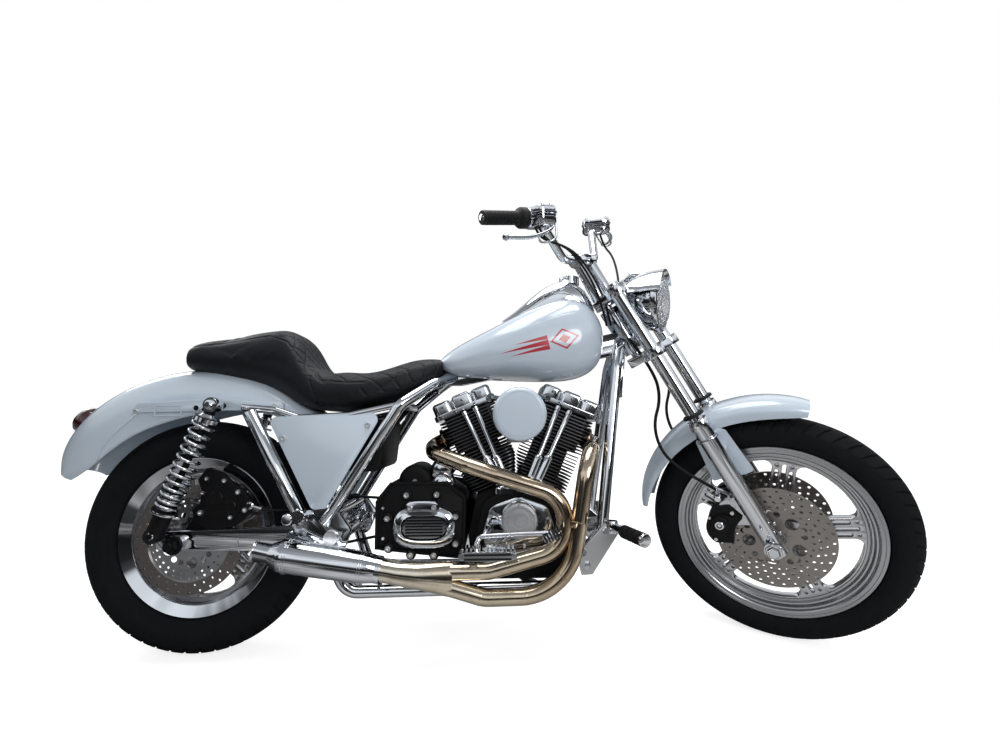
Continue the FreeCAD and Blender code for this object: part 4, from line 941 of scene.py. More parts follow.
def cutPlate(name, outlines, half, rounding, place, centre):
    # a flat plate with holes, filled by a curve and turned into a mesh
    curve = bpy.data.curves.new(name, "CURVE")
    curve.dimensions = "2D"
    curve.fill_mode = "BOTH"
    for outline in outlines:
        spline = curve.splines.new("POLY")
        spline.points.add(len(outline) - 1)
        for point, (x, z) in zip(spline.points, outline):
            point.co = (x, z, 0, 1)
        spline.use_cyclic_u = True
    curve.extrude = half - rounding
    curve.bevel_depth = rounding
    curve.bevel_resolution = 1
    curve.offset = -rounding
    drawn = newObject(name + "Curve", curve)
    bpy.context.view_layer.update()
    mesh = bpy.data.meshes.new_from_object(drawn)
    bpy.data.objects.remove(drawn)
    for vertex in mesh.vertices:
        x, z, y = vertex.co
        vertex.co = place @ Vector((centre[0] + x, centre[1] + y, centre[2] + z))
    return closedNormals(newObject(name, mesh))


def castRim(name):
    size = rims[name]
    bead, half, web, hub = size["bead"], size["half"], size["web"], size["hub"]
    lip, outer, well = bead + rims["lip"], half + rims["flange"], half * 0.42
    if name == "front":
        steps = [(outer, lip - 8), (outer - 1.5, lip - 9), (outer - 1.5, bead - 3), (outer - 4, bead - 6),
                 (half - 3, bead - 8), (half - 4, bead - 12), (web + 7, bead - 16), (web + 6, bead - 20),
                 (web + 1.5, bead - 24), (web + 1.2, bead - 29), (web - 1, bead - 31)]
    else:
        steps = [(outer - 0.4, lip - 3), (outer - 11.5, bead - 15), (outer - 13, bead - 17), (half - 9, bead - 18),
                 (web + 8, bead - 22), (web + 6, bead - 25), (web + 1.5, bead - 28), (web - 1, bead - 31)]
    edge = [(well, bead - rims["drop"]), (well + 6, bead), (half, bead), (half, lip), (outer - 1.2, lip),
            (outer, lip - 1.2), *steps]
    # the section runs from the right-hand flange through the well to the left-hand one, and back under both
    section = [(-y, r) for y, r in reversed(edge[:4])] + edge + [(-y, r) for y, r in reversed(edge[4:])]
    low, high = size["hubEnds"]
    barrel = [
        lathed(section, size["centre"], 144),
        lathed([(low, size["bore"]), (low, hub - 2), (low + 2, hub), (-web - 6, hub), (-web - 2, hub + 8),
                (web + 2, hub + 8), (web + 6, hub), (high - 2, hub), (high, hub - 2), (high, size["bore"])],
               size["centre"], 72)]
    place = placed(size["body"])
    body = closedNormals(meshPiece(name + "RimBarrel", barrel, "chrome", place, 30))
    dress(body, ownFinish[name + "_rim"])
    finished(body, size["body"], "polished_rim", name + "_rim")
    outlines = [[polar(radius, math.tau * k / count) for k in range(count)]
                for radius, count in ((bead - 29, 180), (hub - 2, 60))]
    for k in range(rims["spokes"]):
        angle = math.radians(size["start"]) + math.tau * k / rims["spokes"]
        outlines += [windowOutline(size, angle), oblong(hub + 52, size["window"] - 8, 5.4, 0, angle)]
        for side in (-1, 1):
            outlines += [oblong(hub + 78, size["window"] - 26, 4.6, side * 17.6, angle),
                         oblong(size["window"] - 15, size["window"] - 7, 4.0, side * 18.5, angle)]
    plate = cutPlate(name + "RimWeb", outlines, web, 1.6, place, size["centre"])
    dress(plate, finishes["machined"])
    finished(plate, size["body"], "polished_rim", name + "_rim")


castRim("front")
castRim("rear")
lips = [lathed([(side * y, r) for y, r in rims["rearLips"]], rearAxle, 180) for side in sideName]
madeOf("rearRimLips", lips, "chrome", "rear_wheel", sharp=25)
handMade.update(("front_rim", "rear_rim"))
print("rims cast")

# Exhaust: two bent pipes that run together, tinted by heat along their length
exhaust = {
    "radius": 22.0, "sides": 36, "step": 7.0,
    "front": [(1100.9, 0, 581), (1132, 0, 568), (1092, -134, 556), (1070, -172, 500), (1017, -172, 192),
              (800, -172, 188), (706, -176, 218)],
    "frontBends": [0, 24, 60, 90, 150, 90, 0],
    "rear": [(689.3, 0, 581), (648, 0, 564), (664, -96, 548), (760, -160, 517), (840, -172, 491), (1012, -172, 435),
             (1008, -172, 304), (815, -172, 253), (706, -176, 254)],
    "rearBends": [0, 36, 40, 60, 90, 82, 82, 80, 0],
    "seams": {"front": [0.235, 0.42, 0.615, 0.80, 0.93], "rear": [0.19, 0.30, 0.50, 0.72, 0.86]},
    "collector": [(722, -175, 24.5, 191, 279), (700, -176.5, 27, 195, 280), (680, -178, 29, 202, 280.5),
                  (658, -181, 30, 208, 280.5), (636, -184, 30, 214, 281), (610, -187, 30, 220, 283.5),
                  (585, -190, 30, 226, 286.5), (565, -193, 29.5, 232, 291), (545, -196, 29.5, 236.5, 295.5)]}


def seamRing(path, share, radius, width, height):
    spot = share * (len(path) - 1)
    i = min(int(spot), len(path) - 2)
    centre = path[i].lerp(path[i + 1], spot - i)
    ahead = (path[i + 1] - path[i]).normalized()
    return ring([(radius - 1, -width / 2), (radius + height * 0.7, -width * 0.3), (radius + height, 0),
                 (radius + height * 0.7, width * 0.3), (radius - 1, width / 2)], centre, ahead, 48)


def heatTravel(piece, lines):
    # how far along its pipe each point lies, from port to collector
    travel = piece.data.attributes.new("travel", "FLOAT", "POINT")
    back = onBike.inverted()
    for i, vertex in enumerate(piece.data.vertices):
        spot = back @ vertex.co
        best = min(((spot - point).length_squared, share) for line in lines for point, share in line)
        travel.data[i].value = best[1]


def bentPipes():
    shapes, lines = [], []
    for name in ("front", "rear"):
        path = arcPath(exhaust[name], exhaust[name + "Bends"], exhaust["step"])
        shapes.append(swept(path, exhaust["radius"], exhaust["sides"]))
        lines.append([(point, 0.86 * i / (len(path) - 1)) for i, point in enumerate(path)][::3])
        shapes += [seamRing(path, share, exhaust["radius"], 4.0, 0.9) for share in exhaust["seams"][name]]
        ahead = (path[1] - path[0]).normalized()
        shapes.append(knob([(33, 0.5), (34, 1.5), (34, 8), (32, 10), (22.5, 12)], path[0], ahead, 48))
    rings = [(x, y + halfWidth * c, (low + high) / 2 + (high - low) / 2 * s)
             for x, y, halfWidth, low, high in exhaust["collector"] for c, s in circle(48)]
    count = len(exhaust["collector"])
    shapes.append((rings, capped(count, 48)))
    lines.append([(Vector((x, y, (low + high) / 2)), 0.86 + 0.14 * i / (count - 1))
                  for i, (x, y, _, low, high) in enumerate(exhaust["collector"])])
    piece = meshPiece("exhaustPipesBent", shapes, "tinted_pipe", onBike, 50)
    heatTravel(piece, lines)
    finished(piece, "chassis", "tinted_pipe", "exhaust_pipes")


def clamp(centre, axis, radius, width, lug):
    # a band clamp with its tightening bolt
    axis = Vector(axis).normalized()
    down = Vector(lug).normalized()
    centre = Vector(centre)
    shapes = [ring([(radius, -width / 2), (radius + 1.6, -width / 2), (radius + 1.6, width / 2),
                    (radius, width / 2)], centre, axis, 48)]
    foot = centre + down * (radius + 5)
    side = axis.cross(down).normalized()
    for sign in (-1, 1):
        shapes.append(knob([(5, 0), (5, 3)], foot + side * (sign * 4), side * sign, 20))
    shapes.append(knob([(3, -14), (3, 12)], foot, side, 16))
    shapes.append(knob([(5.5, 0), (5.5, 4.5)], foot + side * 8, side, 6))
    return shapes


def mufflerTrim():
    tail = Vector((240, -212, 318))
    front = Vector((545, -196, 266))
    along = (tail - front).normalized()
    shapes = clamp(front + along * 6, along, 31.6, 14, (0.1, 0.1, -1))
    for distance, radius in ((46, 38.2), (52, 38.4), (226, 40.9), (232, 41.0)):
        shapes.append(ring([(radius - 1, -1.5), (radius + 0.5, -1.0), (radius + 0.8, 0), (radius + 0.5, 1.0),
                            (radius - 1, 1.5)], front + along * distance, along, 56))
    shapes.append(ring([(20.4, -3), (24.4, -3), (26.4, -1.5), (26.6, 0.2), (24.6, 0.9), (20.6, -0.4)], tail, along, 56))
    madeOf("mufflerBands", shapes, "chrome", "chassis", sharp=40)


bentPipes()
mufflerTrim()
handMade.add("exhaust_pipes")
print("exhaust bent")

# Engine: covers, screws and tubes that the castings carry
engine = {
    "caseBolts": [(591, 435), (673, 436), (540, 374), (724, 377), (544, 296), (724, 306), (604, 278), (666, 277)],
    "caseFace": -96.0, "panelScrews": [(271, 592), (494, 625)],
    # the node that carries them, their size, and each one's x and z
    "caseScrews": [
        ("cam_cover", 0.9, [(812, 322), (830, 430), (868, 455), (925, 448), (962, 420), (975, 372), (962, 322),
                            (908, 300), (852, 300)]),
        ("crankcase", 1.0, [(770, 300), (765, 420), (1010, 300), (1016, 400), (980, 470), (880, 260)]),
        ("gearbox", 0.9, [(528, 320), (526, 400)])]}


def gearboxSide():
    # a long oval cover with a ribbed window and a two-screw lug on top
    face = engine["caseFace"]
    centre = (640, 350)
    cover = ovalStack([(84, 56, face - 0.2), (84, 56, face - 12), (82, 54, face - 17), (76, 48, face - 22),
                       (68, 41, face - 25), (62, 34, face - 26), (60, 32, face - 24), (58, 30, face - 18),
                       (57, 29, face - 17)], centre, 72, 2.9)
    lug = ovalStack([(46, 21, face - 8), (46, 21, face - 26), (44, 19, face - 30), (40, 15, face - 31)],
                    (636, 402), 56, 3.2)
    madeOf("gearboxCoverFine", [cover, lug], "chrome", "chassis", "gearbox_cover", sharp=28)
    ribs = [block((590, 690), (face - 22.5, face - 16), (z - 2.2, z + 2.2)) for z in range(330, 371, 8)]
    madeOf("gearboxRibs", ribs, "black_cast", "chassis", bevel=0.8)
    edge = [(506, 292), (748, 264), (752, 428), (700, 467), (545, 469), (506, 418)]
    inner = [(x + (628 - x) * 0.06, z + (366 - z) * 0.06) for x, z in edge]
    points = [(x, y, z) for y, line in ((face + 0.5, edge), (face - 5, edge), (face - 5, inner), (face + 0.5, inner))
              for x, z in line]
    rim = [(points, gridFaces(4, len(edge), True, True))]
    rim += [knob([(13.5, 0), (13.5, -8), (11.5, -10)], (x, face + 0.5, z), (0, 1, 0), 28)
            for x, z in engine["caseBolts"]]
    madeOf("gearboxRim", rim, "black_engine", "chassis", bevel=1.5)
    screws = [((x, face - 9.5, z), (0, -1, 0), 1.75) for x, z in engine["caseBolts"]]
    screws += [((x, face - 30.5, 404), (0, -1, 0), 1.5) for x in (604, 668)]
    scattered("gearboxScrews", socketScrew, screws, "steel_hardware", "chassis")


def starterEnd():
    # two chrome domes over the starter, with a screw each
    shapes = [
        turned([(0, 0), (30, 0), (30, -6), (28, -12), (22, -17), (12, -20), (0, -21)], (684, -60, 500.3), (0, 1, 0)),
        turned([(0, 0), (34, 0), (34, -8), (31, -16), (24, -22), (12, -25), (0, -26)], (688, -62, 462), (0, 1, 0))]
    madeOf("starterDomes", shapes, "chrome", "chassis", sharp=40)
    shapes = [knob([(44, 0), (44, -4), (40, -8), (30, -10)], (608, -61.5, 468), (0, 1, 0), 48)]
    madeOf("oilPumpCap", shapes, "black_engine", "chassis", sharp=40)
    screws = [(spot, (0, -1, 0), size) for spot, size in (((662, -74, 486), 1.0), ((706, -74, 486), 1.0),
                                                          ((608, -71, 468), 1.4))]
    scattered("starterScrews", socketScrew, screws, "steel_hardware", "chassis")


def timerCover():
    # a turned cap with five screws, in steps as a lathe leaves it
    centre = (895, -149.6, 372)
    profile = [(0, 0), (47, 0), (47.5, -1), (47.5, -4), (45, -6.5), (39, -7.5), (38, -6.3), (33, -6.3), (32, -7.5),
               (21, -8), (20, -6.8), (15, -6.8), (14, -8), (0, -8.4)]
    madeOf("timerCap", [turned(profile, centre, (0, 1, 0), 96)], "cast_aluminium", "chassis", sharp=25)
    screws = []
    for k in range(5):
        dx, dz = polar(40.5, math.radians(90 + 72 * k))
        screws.append(((centre[0] + dx, -156.0, centre[2] + dz), (0, -1, 0), 0.72))
    scattered("timerScrews", socketScrew, screws, "steel_hardware", "chassis")


def facePoint(node, x, z, side=-1):
    # where a line from the side meets a node
    ray = sideRays.setdefault(node, treeOf(node))
    start = Vector((x, side * 600, z))
    hit = ray.ray_cast(onBike @ start, (onBike.to_3x3() @ Vector((0, -side, 0))).normalized())
    return onBike.inverted() @ hit[0] if hit[0] else None


def treeOf(node):
    mesh = nodes[node].data
    return BVHTree.FromPolygons([v.co for v in mesh.vertices], [tuple(p.vertices) for p in mesh.polygons])


sideRays = {}


def caseScrews():
    screws = []
    for node, size, spots in engine["caseScrews"]:
        hits = [facePoint(node, x, z) for x, z in spots]
        screws += [(tuple(spot), (0, -1, 0), size) for spot in hits if spot]
    scattered("caseScrews", socketScrew, screws, "steel_hardware", "chassis")
    screws = [((x, -side * facePoint("side_panels", x, z).y, z), (0, side, 0), 1.7)
              for side in (-1, 1) for x, z in engine["panelScrews"]]
    scattered("panelScrews", socketScrew, screws, "steel_hardware", "chassis")


gearboxSide()
starterEnd()
timerCover()
caseScrews()
handMade.add("gearbox_cover")
print("engine covers and screws made")

# Rear end: strut trim, shock ends, brake screws, axle nut and fender rib
rearEnd = {
    "strutFace": 115.0, "frameOnStrut": [(-93, 654), (-20, 655), (-19, 684), (-93, 683)],
    "strutHoles": [(19, 675, 7.0), (38, 671, 4.0)], "strutScrews": [(-141, 668), (232, 680)],
    "rib": [(-300, 470), (-268, 512), (-221, 591), (-146, 662)],
    "caliperFace": -97.5, "coverRise": 2.2}


def framed(outline, low, high, width):
    # a raised band that follows an outline
    middle = [sum(p[i] for p in outline) / len(outline) for i in (0, 1)]
    inner = []
    for x, z in outline:
        inner.append((x + math.copysign(width, middle[0] - x), z + math.copysign(width, middle[1] - z)))
    count = len(outline)
    points = [(x, low, z) for x, z in outline] + [(x, high, z) for x, z in outline]
    points += [(x, high, z) for x, z in inner] + [(x, low, z) for x, z in inner]
    return points, gridFaces(4, count, True, True)


def strutTrim():
    white, dark, screws = [], [], []
    for side in (-1, 1):
        face = side * rearEnd["strutFace"]
        white.append(framed(rearEnd["frameOnStrut"], face - side * 0.5, face + side * 1.8, 2.6))
        for x, z, radius in rearEnd["strutHoles"]:
            white.append(ring([(radius, -0.5), (radius + 2.6, -0.5), (radius + 2.4, 2.0), (radius + 0.4, 2.2)],
                              (x, face, z), (0, side, 0), 32))
            # a black disc fills each hole at its face: painted shade standing in for the open hole
            dark.append(knob([(radius, -0.4), (radius, 0.5)], (x, face, z), (0, side, 0), 32))
        screws += [((x, face, z), (0, side, 0), 1.15) for x, z in rearEnd["strutScrews"]]
    madeOf("strutTrim", white, "white_paint", "chassis", bevel=0.4)
    # strutHoles is the set of black discs of painted shade in the holes
    madeOf("strutHoles", dark, "black_cast", "chassis")
    scattered("strutScrews", socketScrew, screws, "steel_hardware", "chassis")


def shockEnds():
    bright, black = [], []
    for side in (-1, 1):
        foot, top, up = shockAxis(side)
        out = Vector((0, side, 0))
        high = (top - foot).length
        # upper eye, its cup and the stepped cap over the coil
        bright.append(ring([(10, -16), (18.5, -16), (19.5, -14), (19.5, 14), (18.5, 16), (10, 16)], top, out, 40))
        bright.append(knob([(11, -15), (11, 17)], top, out, 32))
        bright.append(knob([(13, 16), (13, 19), (11, 20)], top, out, 32))
        bright.append(knob([(8.5, 19), (8.5, 27), (7, 29)], top, out, 6))
        bright.append(knob([(15, high - 26), (20, high - 33), (31.5, high - 36), (32, high - 46.5)], foot, up, 48))
        for along in (high - 130, high - 96, high - 62):
            bright.append(knob([(13.5, along), (14, along + 3), (13.5, along + 14)],
                               foot, up, 32))
        for along, radius in ((62, 32.0), (74, 23.5), (96, 23.0), (112, 23.0)):
            bright.append(ring([(radius - 2, along - 3), (radius, along - 3), (radius + 0.6, along),
                                (radius, along + 3), (radius - 2, along + 3)], foot, up))
        # lower eye with its rubber bush
        black.append(ring([(9, -16), (19, -16), (20, -13), (20, 13), (19, 16), (9, 16)], foot, out, 40))
        bright.append(knob([(9.5, -16), (9.5, 18), (8, 20)], foot, out, 32))
    madeOf("shockTrim", bright, "chrome", "chassis", sharp=30)
    madeOf("shockBushes", black, "black_rubber", "chassis", sharp=30)


def rearBrake():
    # a two-piece caliper astride the rotor, on an arm from the axle
    outline = [(24, 482), (48, 516), (91, 497), (122, 468), (149, 453), (166, 427), (170, 391), (153, 373), (122, 354),
               (60, 346), (20, 372), (12, 402), (33, 420), (34, 456)]
    bends = [6, 12, 8, 10, 10, 12, 10, 8, 14, 16, 10, 8, 8, 6]
    outer, face = -84.0, rearEnd["caliperFace"]
    body = [slab(closedBends(outline, bends, 3), face, outer)]
    inner = [(40, 392), (150, 384), (152, 424), (118, 456), (52, 468)]
    body.append(slab(closedBends(inner, [10] * 5, 3), -72.5, -54.0))
    bridge = [polar(168, math.radians(k)) for k in range(48, 79, 3)]
    bridge += [polar(150, math.radians(k)) for k in range(78, 47, -3)]
    body.append(slab([(x, z + machine["rearRadius"]) for x, z in bridge], face + 10, -56.0))
    arm = [(-22, 312), (0, 296), (24, 306), (74, 352), (64, 372), (12, 378), (-14, 344)]
    body.append(slab(closedBends(arm, [12] * 7, 3), face + 8, outer))
    madeOf("rearCaliperBody", body, "black_cast", "chassis", "rear_caliper", bevel=2.0)
    raised = [(58, 474), (92, 470), (130, 438), (146, 408), (132, 380), (96, 372), (58, 384), (48, 420)]
    lifted = face - rearEnd["coverRise"]
    cover = [slab(closedBends(raised, [10] * 8, 3), lifted, face + 1)]
    screws = [((x, face, z), (0, -1, 0), size) for x, z, size in (
        (49, 484, 1.2), (97, 478, 1.3), (136, 448, 1.5), (156, 400, 1.5), (118, 381, 1.3), (38, 394, 1.6),
        (40, 446, 1.1))]
    scattered("rearCaliperScrews", socketScrew, screws, "steel_hardware", "chassis")
    for x, z, radius in ((78, 432, 19), (116, 410, 17)):
        cover.append(knob([(radius, 0.5), (radius, -3), (radius - 3, -5), (radius - 7, -5),
                           (radius - 8, -3.5)], (x, lifted, z), (0, 1, 0), 40))
    madeOf("rearPistonCaps", cover, "black_cast", "chassis", sharp=30)
    line = smoothLine([(176, face - 4, 412), (200, face - 9, 404), (232, face - 6, 400), (300, face + 2, 398),
                       (372, face + 4, 396)], 8)
    madeOf("rearBrakeLine", [swept(line, 3.4, 12)], "black_rubber", "chassis")
    banjo = [knob([(10, 2), (10, -6), (7, -8), (7, -14)], (170, face - 1, 412), (0, 1, 0), 24)]
    banjo.append(swept([(170, face - 5, 412), (190, face - 8, 407), (204, face - 8.5, 403.5)], 5.0, 16))
    madeOf("rearBanjo", banjo, "chrome", "chassis", sharp=30)


def axleTrim():
    shapes = []
    for side in (-1, 1):
        out = Vector((0, side, 0))
        centre = Vector((0, side * 146, 320))
        shapes.append(knob([(24, 0), (24, 3), (21, 5)], centre, out, 48))
        shapes.append(knob([(17.5, 5), (17.5, 17), (15.5, 19)], centre, out, 6))
        shapes.append(knob([(12, 19), (12, 25), (10.5, 27)], centre, out, 32))
    madeOf("rearAxleNuts", shapes, "black_cast", "chassis", sharp=30)


def fenderRib():
    for side in (-1, 1):
        hits = [(x, z, facePoint("rear_fender", x, z, side)) for x, z in smoothLine(rearEnd["rib"], 6)]
        line = [(x, spot.y + side * 0.5, z) for x, z, spot in hits if spot]
        madeOf("fenderRib" + sideName[side], [swept(line, 3.2, 12)], "white_paint", "chassis", sharp=60)


def armPanels():
    # the sunk panel along each side of the swingarm box
    shapes = []
    outline = [(46, 310), (150, 308), (156, 312), (156, 326), (150, 330), (46, 330), (41, 326), (41, 314)]
    for side in (-1, 1):
        y = facePoint("swingarm", 100, 320, side).y
        shapes.append(framed(outline, y - side * 0.5, y + side * 1.2, 2.0))
    madeOf("armPanels", shapes, "chrome_frame", "chassis", bevel=0.3)


strutTrim()
shockEnds()
rearBrake()
handMade.add("rear_caliper")
axleTrim()
fenderRib()
armPanels()
print("rear end trimmed")

# Front end: calipers, axle ends, hoses and fork seals
forkBase = Vector((1578.05, 0, 293.5))
rake = math.radians(machine["rake"])
forkAhead = Vector((math.cos(rake), 0, math.sin(rake)))
forkUp = Vector((-math.sin(rake), 0, math.cos(rake)))
frontEnd = {
    # a caliper's plates: inner and outer radius, first and last angle, and the two faces
    "caliper": {"face": 95.0, "plates": [
        (98.0, 172.0, 142.0, 190.0, 66.5, 95.0), (102.0, 172.0, 146.0, 186.0, 46.5, 54.5),
        (150.0, 172.0, 148.0, 184.0, 54.0, 67.0), (112.0, 160.0, 150.0, 184.0, 95.0, 100.0)]},
    "leg": 97.0, "sliderTop": 400.0,
    "hose": [(1262, 60, 892), (1330, 66, 800), (1352, 76, 720), (1330, 84, 640), (1352, 88, 560), (1410, 88, 510),
             (1478, 76, 470), (1500, 66, 452)]}


def forkPoint(forward, y, height):
    return forkBase + forkAhead * forward + Vector((0, y, 0)) + forkUp * height


def arcSlab(inner, outer, first, last, low, high, steps=14):
    # a plate between two radii about the front axle, drawn in towards its ends
    angles = [math.radians(first + (last - first) * k / steps) for k in range(steps + 1)]
    outline = [polar(outer * (1 - 0.16 * abs(2 * k / steps - 1) ** 3), angle) for k, angle in enumerate(angles)]
    outline += [polar(inner, angle) for angle in reversed(angles)]
    return slab([(frontAxle[0] + x, frontAxle[2] + z) for x, z in outline], low, high)


def calipers():
    size = frontEnd["caliper"]
    body, bright, pads, screws = [], [], [], []
    for side in (-1, 1):
        out = Vector((0, side, 0))
        for inner, outer, first, last, low, high in size["plates"]:
            body.append(arcSlab(inner, outer, first, last, side * low, side * high))
        centre = Vector((1509, side * (size["face"] + 5), 366))
        body.append(knob([(24, -2), (24, 3), (21, 5)], centre, out, 40))
        bright.append(ring([(7, 4), (12, 4), (12, 8), (11, 9), (7.5, 9)], centre, out, 32))
        bright.append(knob([(5.4, 4), (5.4, 6.5)], centre, out, 6))
        pads.append(arcSlab(104, 138, 146, 158, side * 64.5, side * 68.5))
        pads.append(arcSlab(104, 138, 172, 186, side * 64.5, side * 68.5))
        top = Vector((1503, side * 86, 440))
        bright.append(knob([(9, -10), (9, 10), (7.5, 11.5)], top, out, 24))
        bright.append(swept([(1503, side * 84, 440), (1502, side * 76, 449), (1499, side * 67, 455)], 6.0, 16))
        for x, z, scale in ((1540, 405, 1.1), (1500, 318, 1.1), (1482, 380, 0.9), (1532, 440, 1.0)):
            screws.append(((x, side * (size["face"] - 0.5), z), (0, side, 0), scale))
    madeOf("frontCaliperBodies", body, "black_cast", "steering", "front_calipers", sharp=30, bevel=2.0)
    madeOf("frontCaliperFittings", bright, "chrome", "steering", sharp=30)
    madeOf("frontPads", pads, "cast_aluminium", "steering", bevel=0.6)
    scattered("frontCaliperScrews", socketScrew, screws, "steel_hardware", "steering")


def forkTrim():
    bright, black, screws = [], [], []
    for side in (-1, 1):
        y = side * frontEnd["leg"]
        out = Vector((0, side, 0))
        collar = forkPoint(75, y, frontEnd["sliderTop"])
        black.append(ring([(20, 0), (29, 0), (29.5, 2), (28, 7), (22, 9.5), (20.2, 9.5)], collar, forkUp, 48))
        axleEnd = Vector((1643, side * (frontEnd["leg"] + 40), 331))
        bright.append(knob([(22, -8), (22, -4), (20, -2), (17, -1.5), (15, 6), (13, 8)], axleEnd, out, 6))
        bright.append(knob([(24, -10), (24, -6.5), (23, -6)], axleEnd, out, 40))
        # pinch screws on the foot of each slider and the drain screw behind
        for height in (-14, 14):
            spot = forkPoint(75 + 29, y, 40 + height)
            screws.append((tuple(spot), tuple(forkAhead), 1.1))
        screws.append((tuple(forkPoint(75, y + side * 28, 62)), (0, side, 0), 0.9))
        bright.append(ring([(28, -2), (30.6, -1.5), (31, 0), (30.6, 1.5), (28, 2)], forkPoint(75, y, 330), forkUp, 48))
    madeOf("forkBrightwork", bright, "chrome", "steering", sharp=30)
    madeOf("forkSeals", black, "black_rubber", "steering", sharp=30)
    scattered("forkScrews", socketScrew, screws, "chrome", "steering")


def curveLength(piece):
    data = piece.data.copy()
    data.bevel_depth = 0
    line = applied(newObject("line", data))
    spots = [v.co.copy() for v in line.data.vertices]
    bpy.data.objects.remove(line)
    return sum((b - a).length for a, b in zip(spots, spots[1:]))


def cordPiece(name, points, radius, *replaced):
    # a cable or hose: one smooth spline through the route that the solid takes
    data = bpy.data.curves.new(name, "CURVE")
    data.dimensions = "3D"
    data.bevel_depth = radius / 1000
    data.bevel_resolution = 4
    data.resolution_u = 10
    data.use_fill_caps = True
    line = data.splines.new("NURBS")
    line.points.add(len(points) - 1)
    for knot, point in zip(line.points, points):
        knot.co = (*(onFork @ Vector(point)), 1)
    line.order_u = 3
    line.use_endpoint_u = True
    data.materials.append(finishes["black_rubber"])
    piece = finished(newObject(name, data), "steering", "black_rubber", *replaced)
    curveLength(piece)


calipers()
forkTrim()
for side, label in sideName.items():
    cordPiece("brakeHose" + label, mirrored(frontEnd["hose"], side), 4.5, "brake_hoses")
handMade.update(("front_calipers", "brake_hoses"))
print("front end trimmed")

# Handlebar: master cylinders, switch drums, levers, cables and grips
cockpit = {
    "barEnd": (993, 387, 1246), "barRoot": (1047, 281, 1244.7), "reservoir": (1080, 236, 1251), "leverRadius": 7.0,
    "lever": [(1106, 222, 1232), (1122, 250, 1214), (1116, 282, 1200), (1092, 322, 1190), (1056, 384, 1192)],
    "guard": [(1118, 214, 1226), (1128, 246, 1186), (1098, 268, 1178), (1080, 252, 1206), (1078, 240, 1222)],
    "throttle": [[(1078, 262, 1222), (1084, 250, 1190), (1120, 226, 1176), (1150, 190, 1150), (1176, 130, 1080),
                  (1190, 78, 1000), (1196, 58, 930)],
                 [(1086, 258, 1222), (1096, 240, 1182), (1134, 214, 1168), (1164, 176, 1138), (1188, 120, 1070),
                  (1200, 70, 1000), (1206, 50, 930)]],
    "clutch": [(1086, 258, 1222), (1104, 236, 1176), (1146, 200, 1140), (1180, 140, 1070), (1196, 82, 1000),
               (1204, 60, 930)]}


def barControls():
    bright, dark, screws = [], [], []
    for side in (-1, 1):
        root, end = (Vector(point) for point in mirrored((cockpit["barRoot"], cockpit["barEnd"]), side))
        out = (end - root).normalized()
        ahead = Vector((out.y, -out.x, 0)).normalized() * (-side)
        if ahead.x < 0:
            ahead = -ahead
        centre = Vector(mirrored([cockpit["reservoir"]], side)[0])
        bright.append(stacked(centre, ahead, out, [
            (32, 22, -34), (42, 30, -30), (46, 33, -22), (46, 33, -12), (44.6, 31.6, -11), (44.6, 31.6, -9),
            (46, 33, -8), (46, 33, -2), (48.5, 35.5, -0.5), (48.5, 35.5, 3), (46, 33, 4.5), (46, 33, 13),
            (44, 31, 17.5), (39, 27, 20), (30, 18, 21)]))
        # the drum with the switches and the clamp round the bar
        drum = root - out * 14
        bright.append(knob([(23, 2), (25.5, 0), (26, -4), (26, -14), (24.8, -15), (24.8, -17), (26, -18),
                            (26, -26), (24, -29)], drum, out, 48))
        dark.append(stacked(drum - out * 10 - ahead * 22, out, (0, 0, 1), [(9, 7, -6), (9, 7, 4), (7, 5, 6)], 3.0, 24))
        dark.append(stacked(drum - out * 20 - ahead * 22 + Vector((0, 0, 8)), out, (0, 0, 1),
                            [(4, 4, -6), (4, 4, 5), (3, 3, 6)], 2.0, 20))
        for shift in (-14, 14):
            for reach in (34, -34):
                screws.append((tuple(centre + ahead * reach + out * shift + Vector((0, 0, 20))), (0, 0, 1), 0.9))
        lever = smoothLine(mirrored(cockpit["lever"], side), 8)
        bright.append(swept(lever, cockpit["leverRadius"], 16, 0.62))
        bright.append(turned([(0, -9), (5, -8), (8, -4), (9, 0), (8, 4), (5, 8), (0, 9)], lever[-1], (0, side, 0), 24))
        bright.append(knob([(12, -12), (13, -10), (13, 10), (12, 12)], lever[1], (0, 0, 1), 32))
        screws.append((tuple(Vector(lever[1]) + Vector((0, 0, 12))), (0, 0, 1), 1.3))
        bright.append(swept(smoothLine(mirrored(cockpit["guard"], side), 8), 3.0, 12))
        boss = Vector((1076, side * 236, 1266))
        bright.append(ring([(4.2, -6), (9, -6), (9, 5.5), (8.4, 6.2), (4.2, 6.2)], boss, (0, 0, 1), 32))
    madeOf("barControlsFine", bright, "chrome", "steering", "bar_controls", sharp=32)
    madeOf("switchButtons", dark, "black_rubber", "steering", sharp=40)
    scattered("controlScrews", socketScrew, screws, "steel_hardware", "steering")


def grips():
    rubber, ends = [], []
    for side in (-1, 1):
        root, end = (Vector(point) for point in mirrored((cockpit["barRoot"], cockpit["barEnd"]), side))
        out = (end - root).normalized()
        long = (end - root).length
        profile = [(0, -17), (27, -17), (27.6, -14), (27.6, 0), (26, 4), (21, 8), (18.2, 12)]
        for k in range(16):
            start = 16 + k * (long - 24) / 16
            profile += [(18.0, start), (18.0, start + 3.2), (17.2, start + 3.7), (17.2, start + 4.6)]
        profile += [(18.0, long - 6), (17.4, long - 1.5), (15.5, long), (0, long)]
        rubber.append(turned(profile, root, out, 40))
        ends.append(turned([(0, long - 0.5), (9.5, long - 0.5), (9, long + 0.8), (0, long + 1.2)], root, out, 32))
    madeOf("gripRubbers", rubber, "black_rubber", "steering", "grips", sharp=30)
    madeOf("gripEnds", ends, "chrome", "steering", sharp=40)


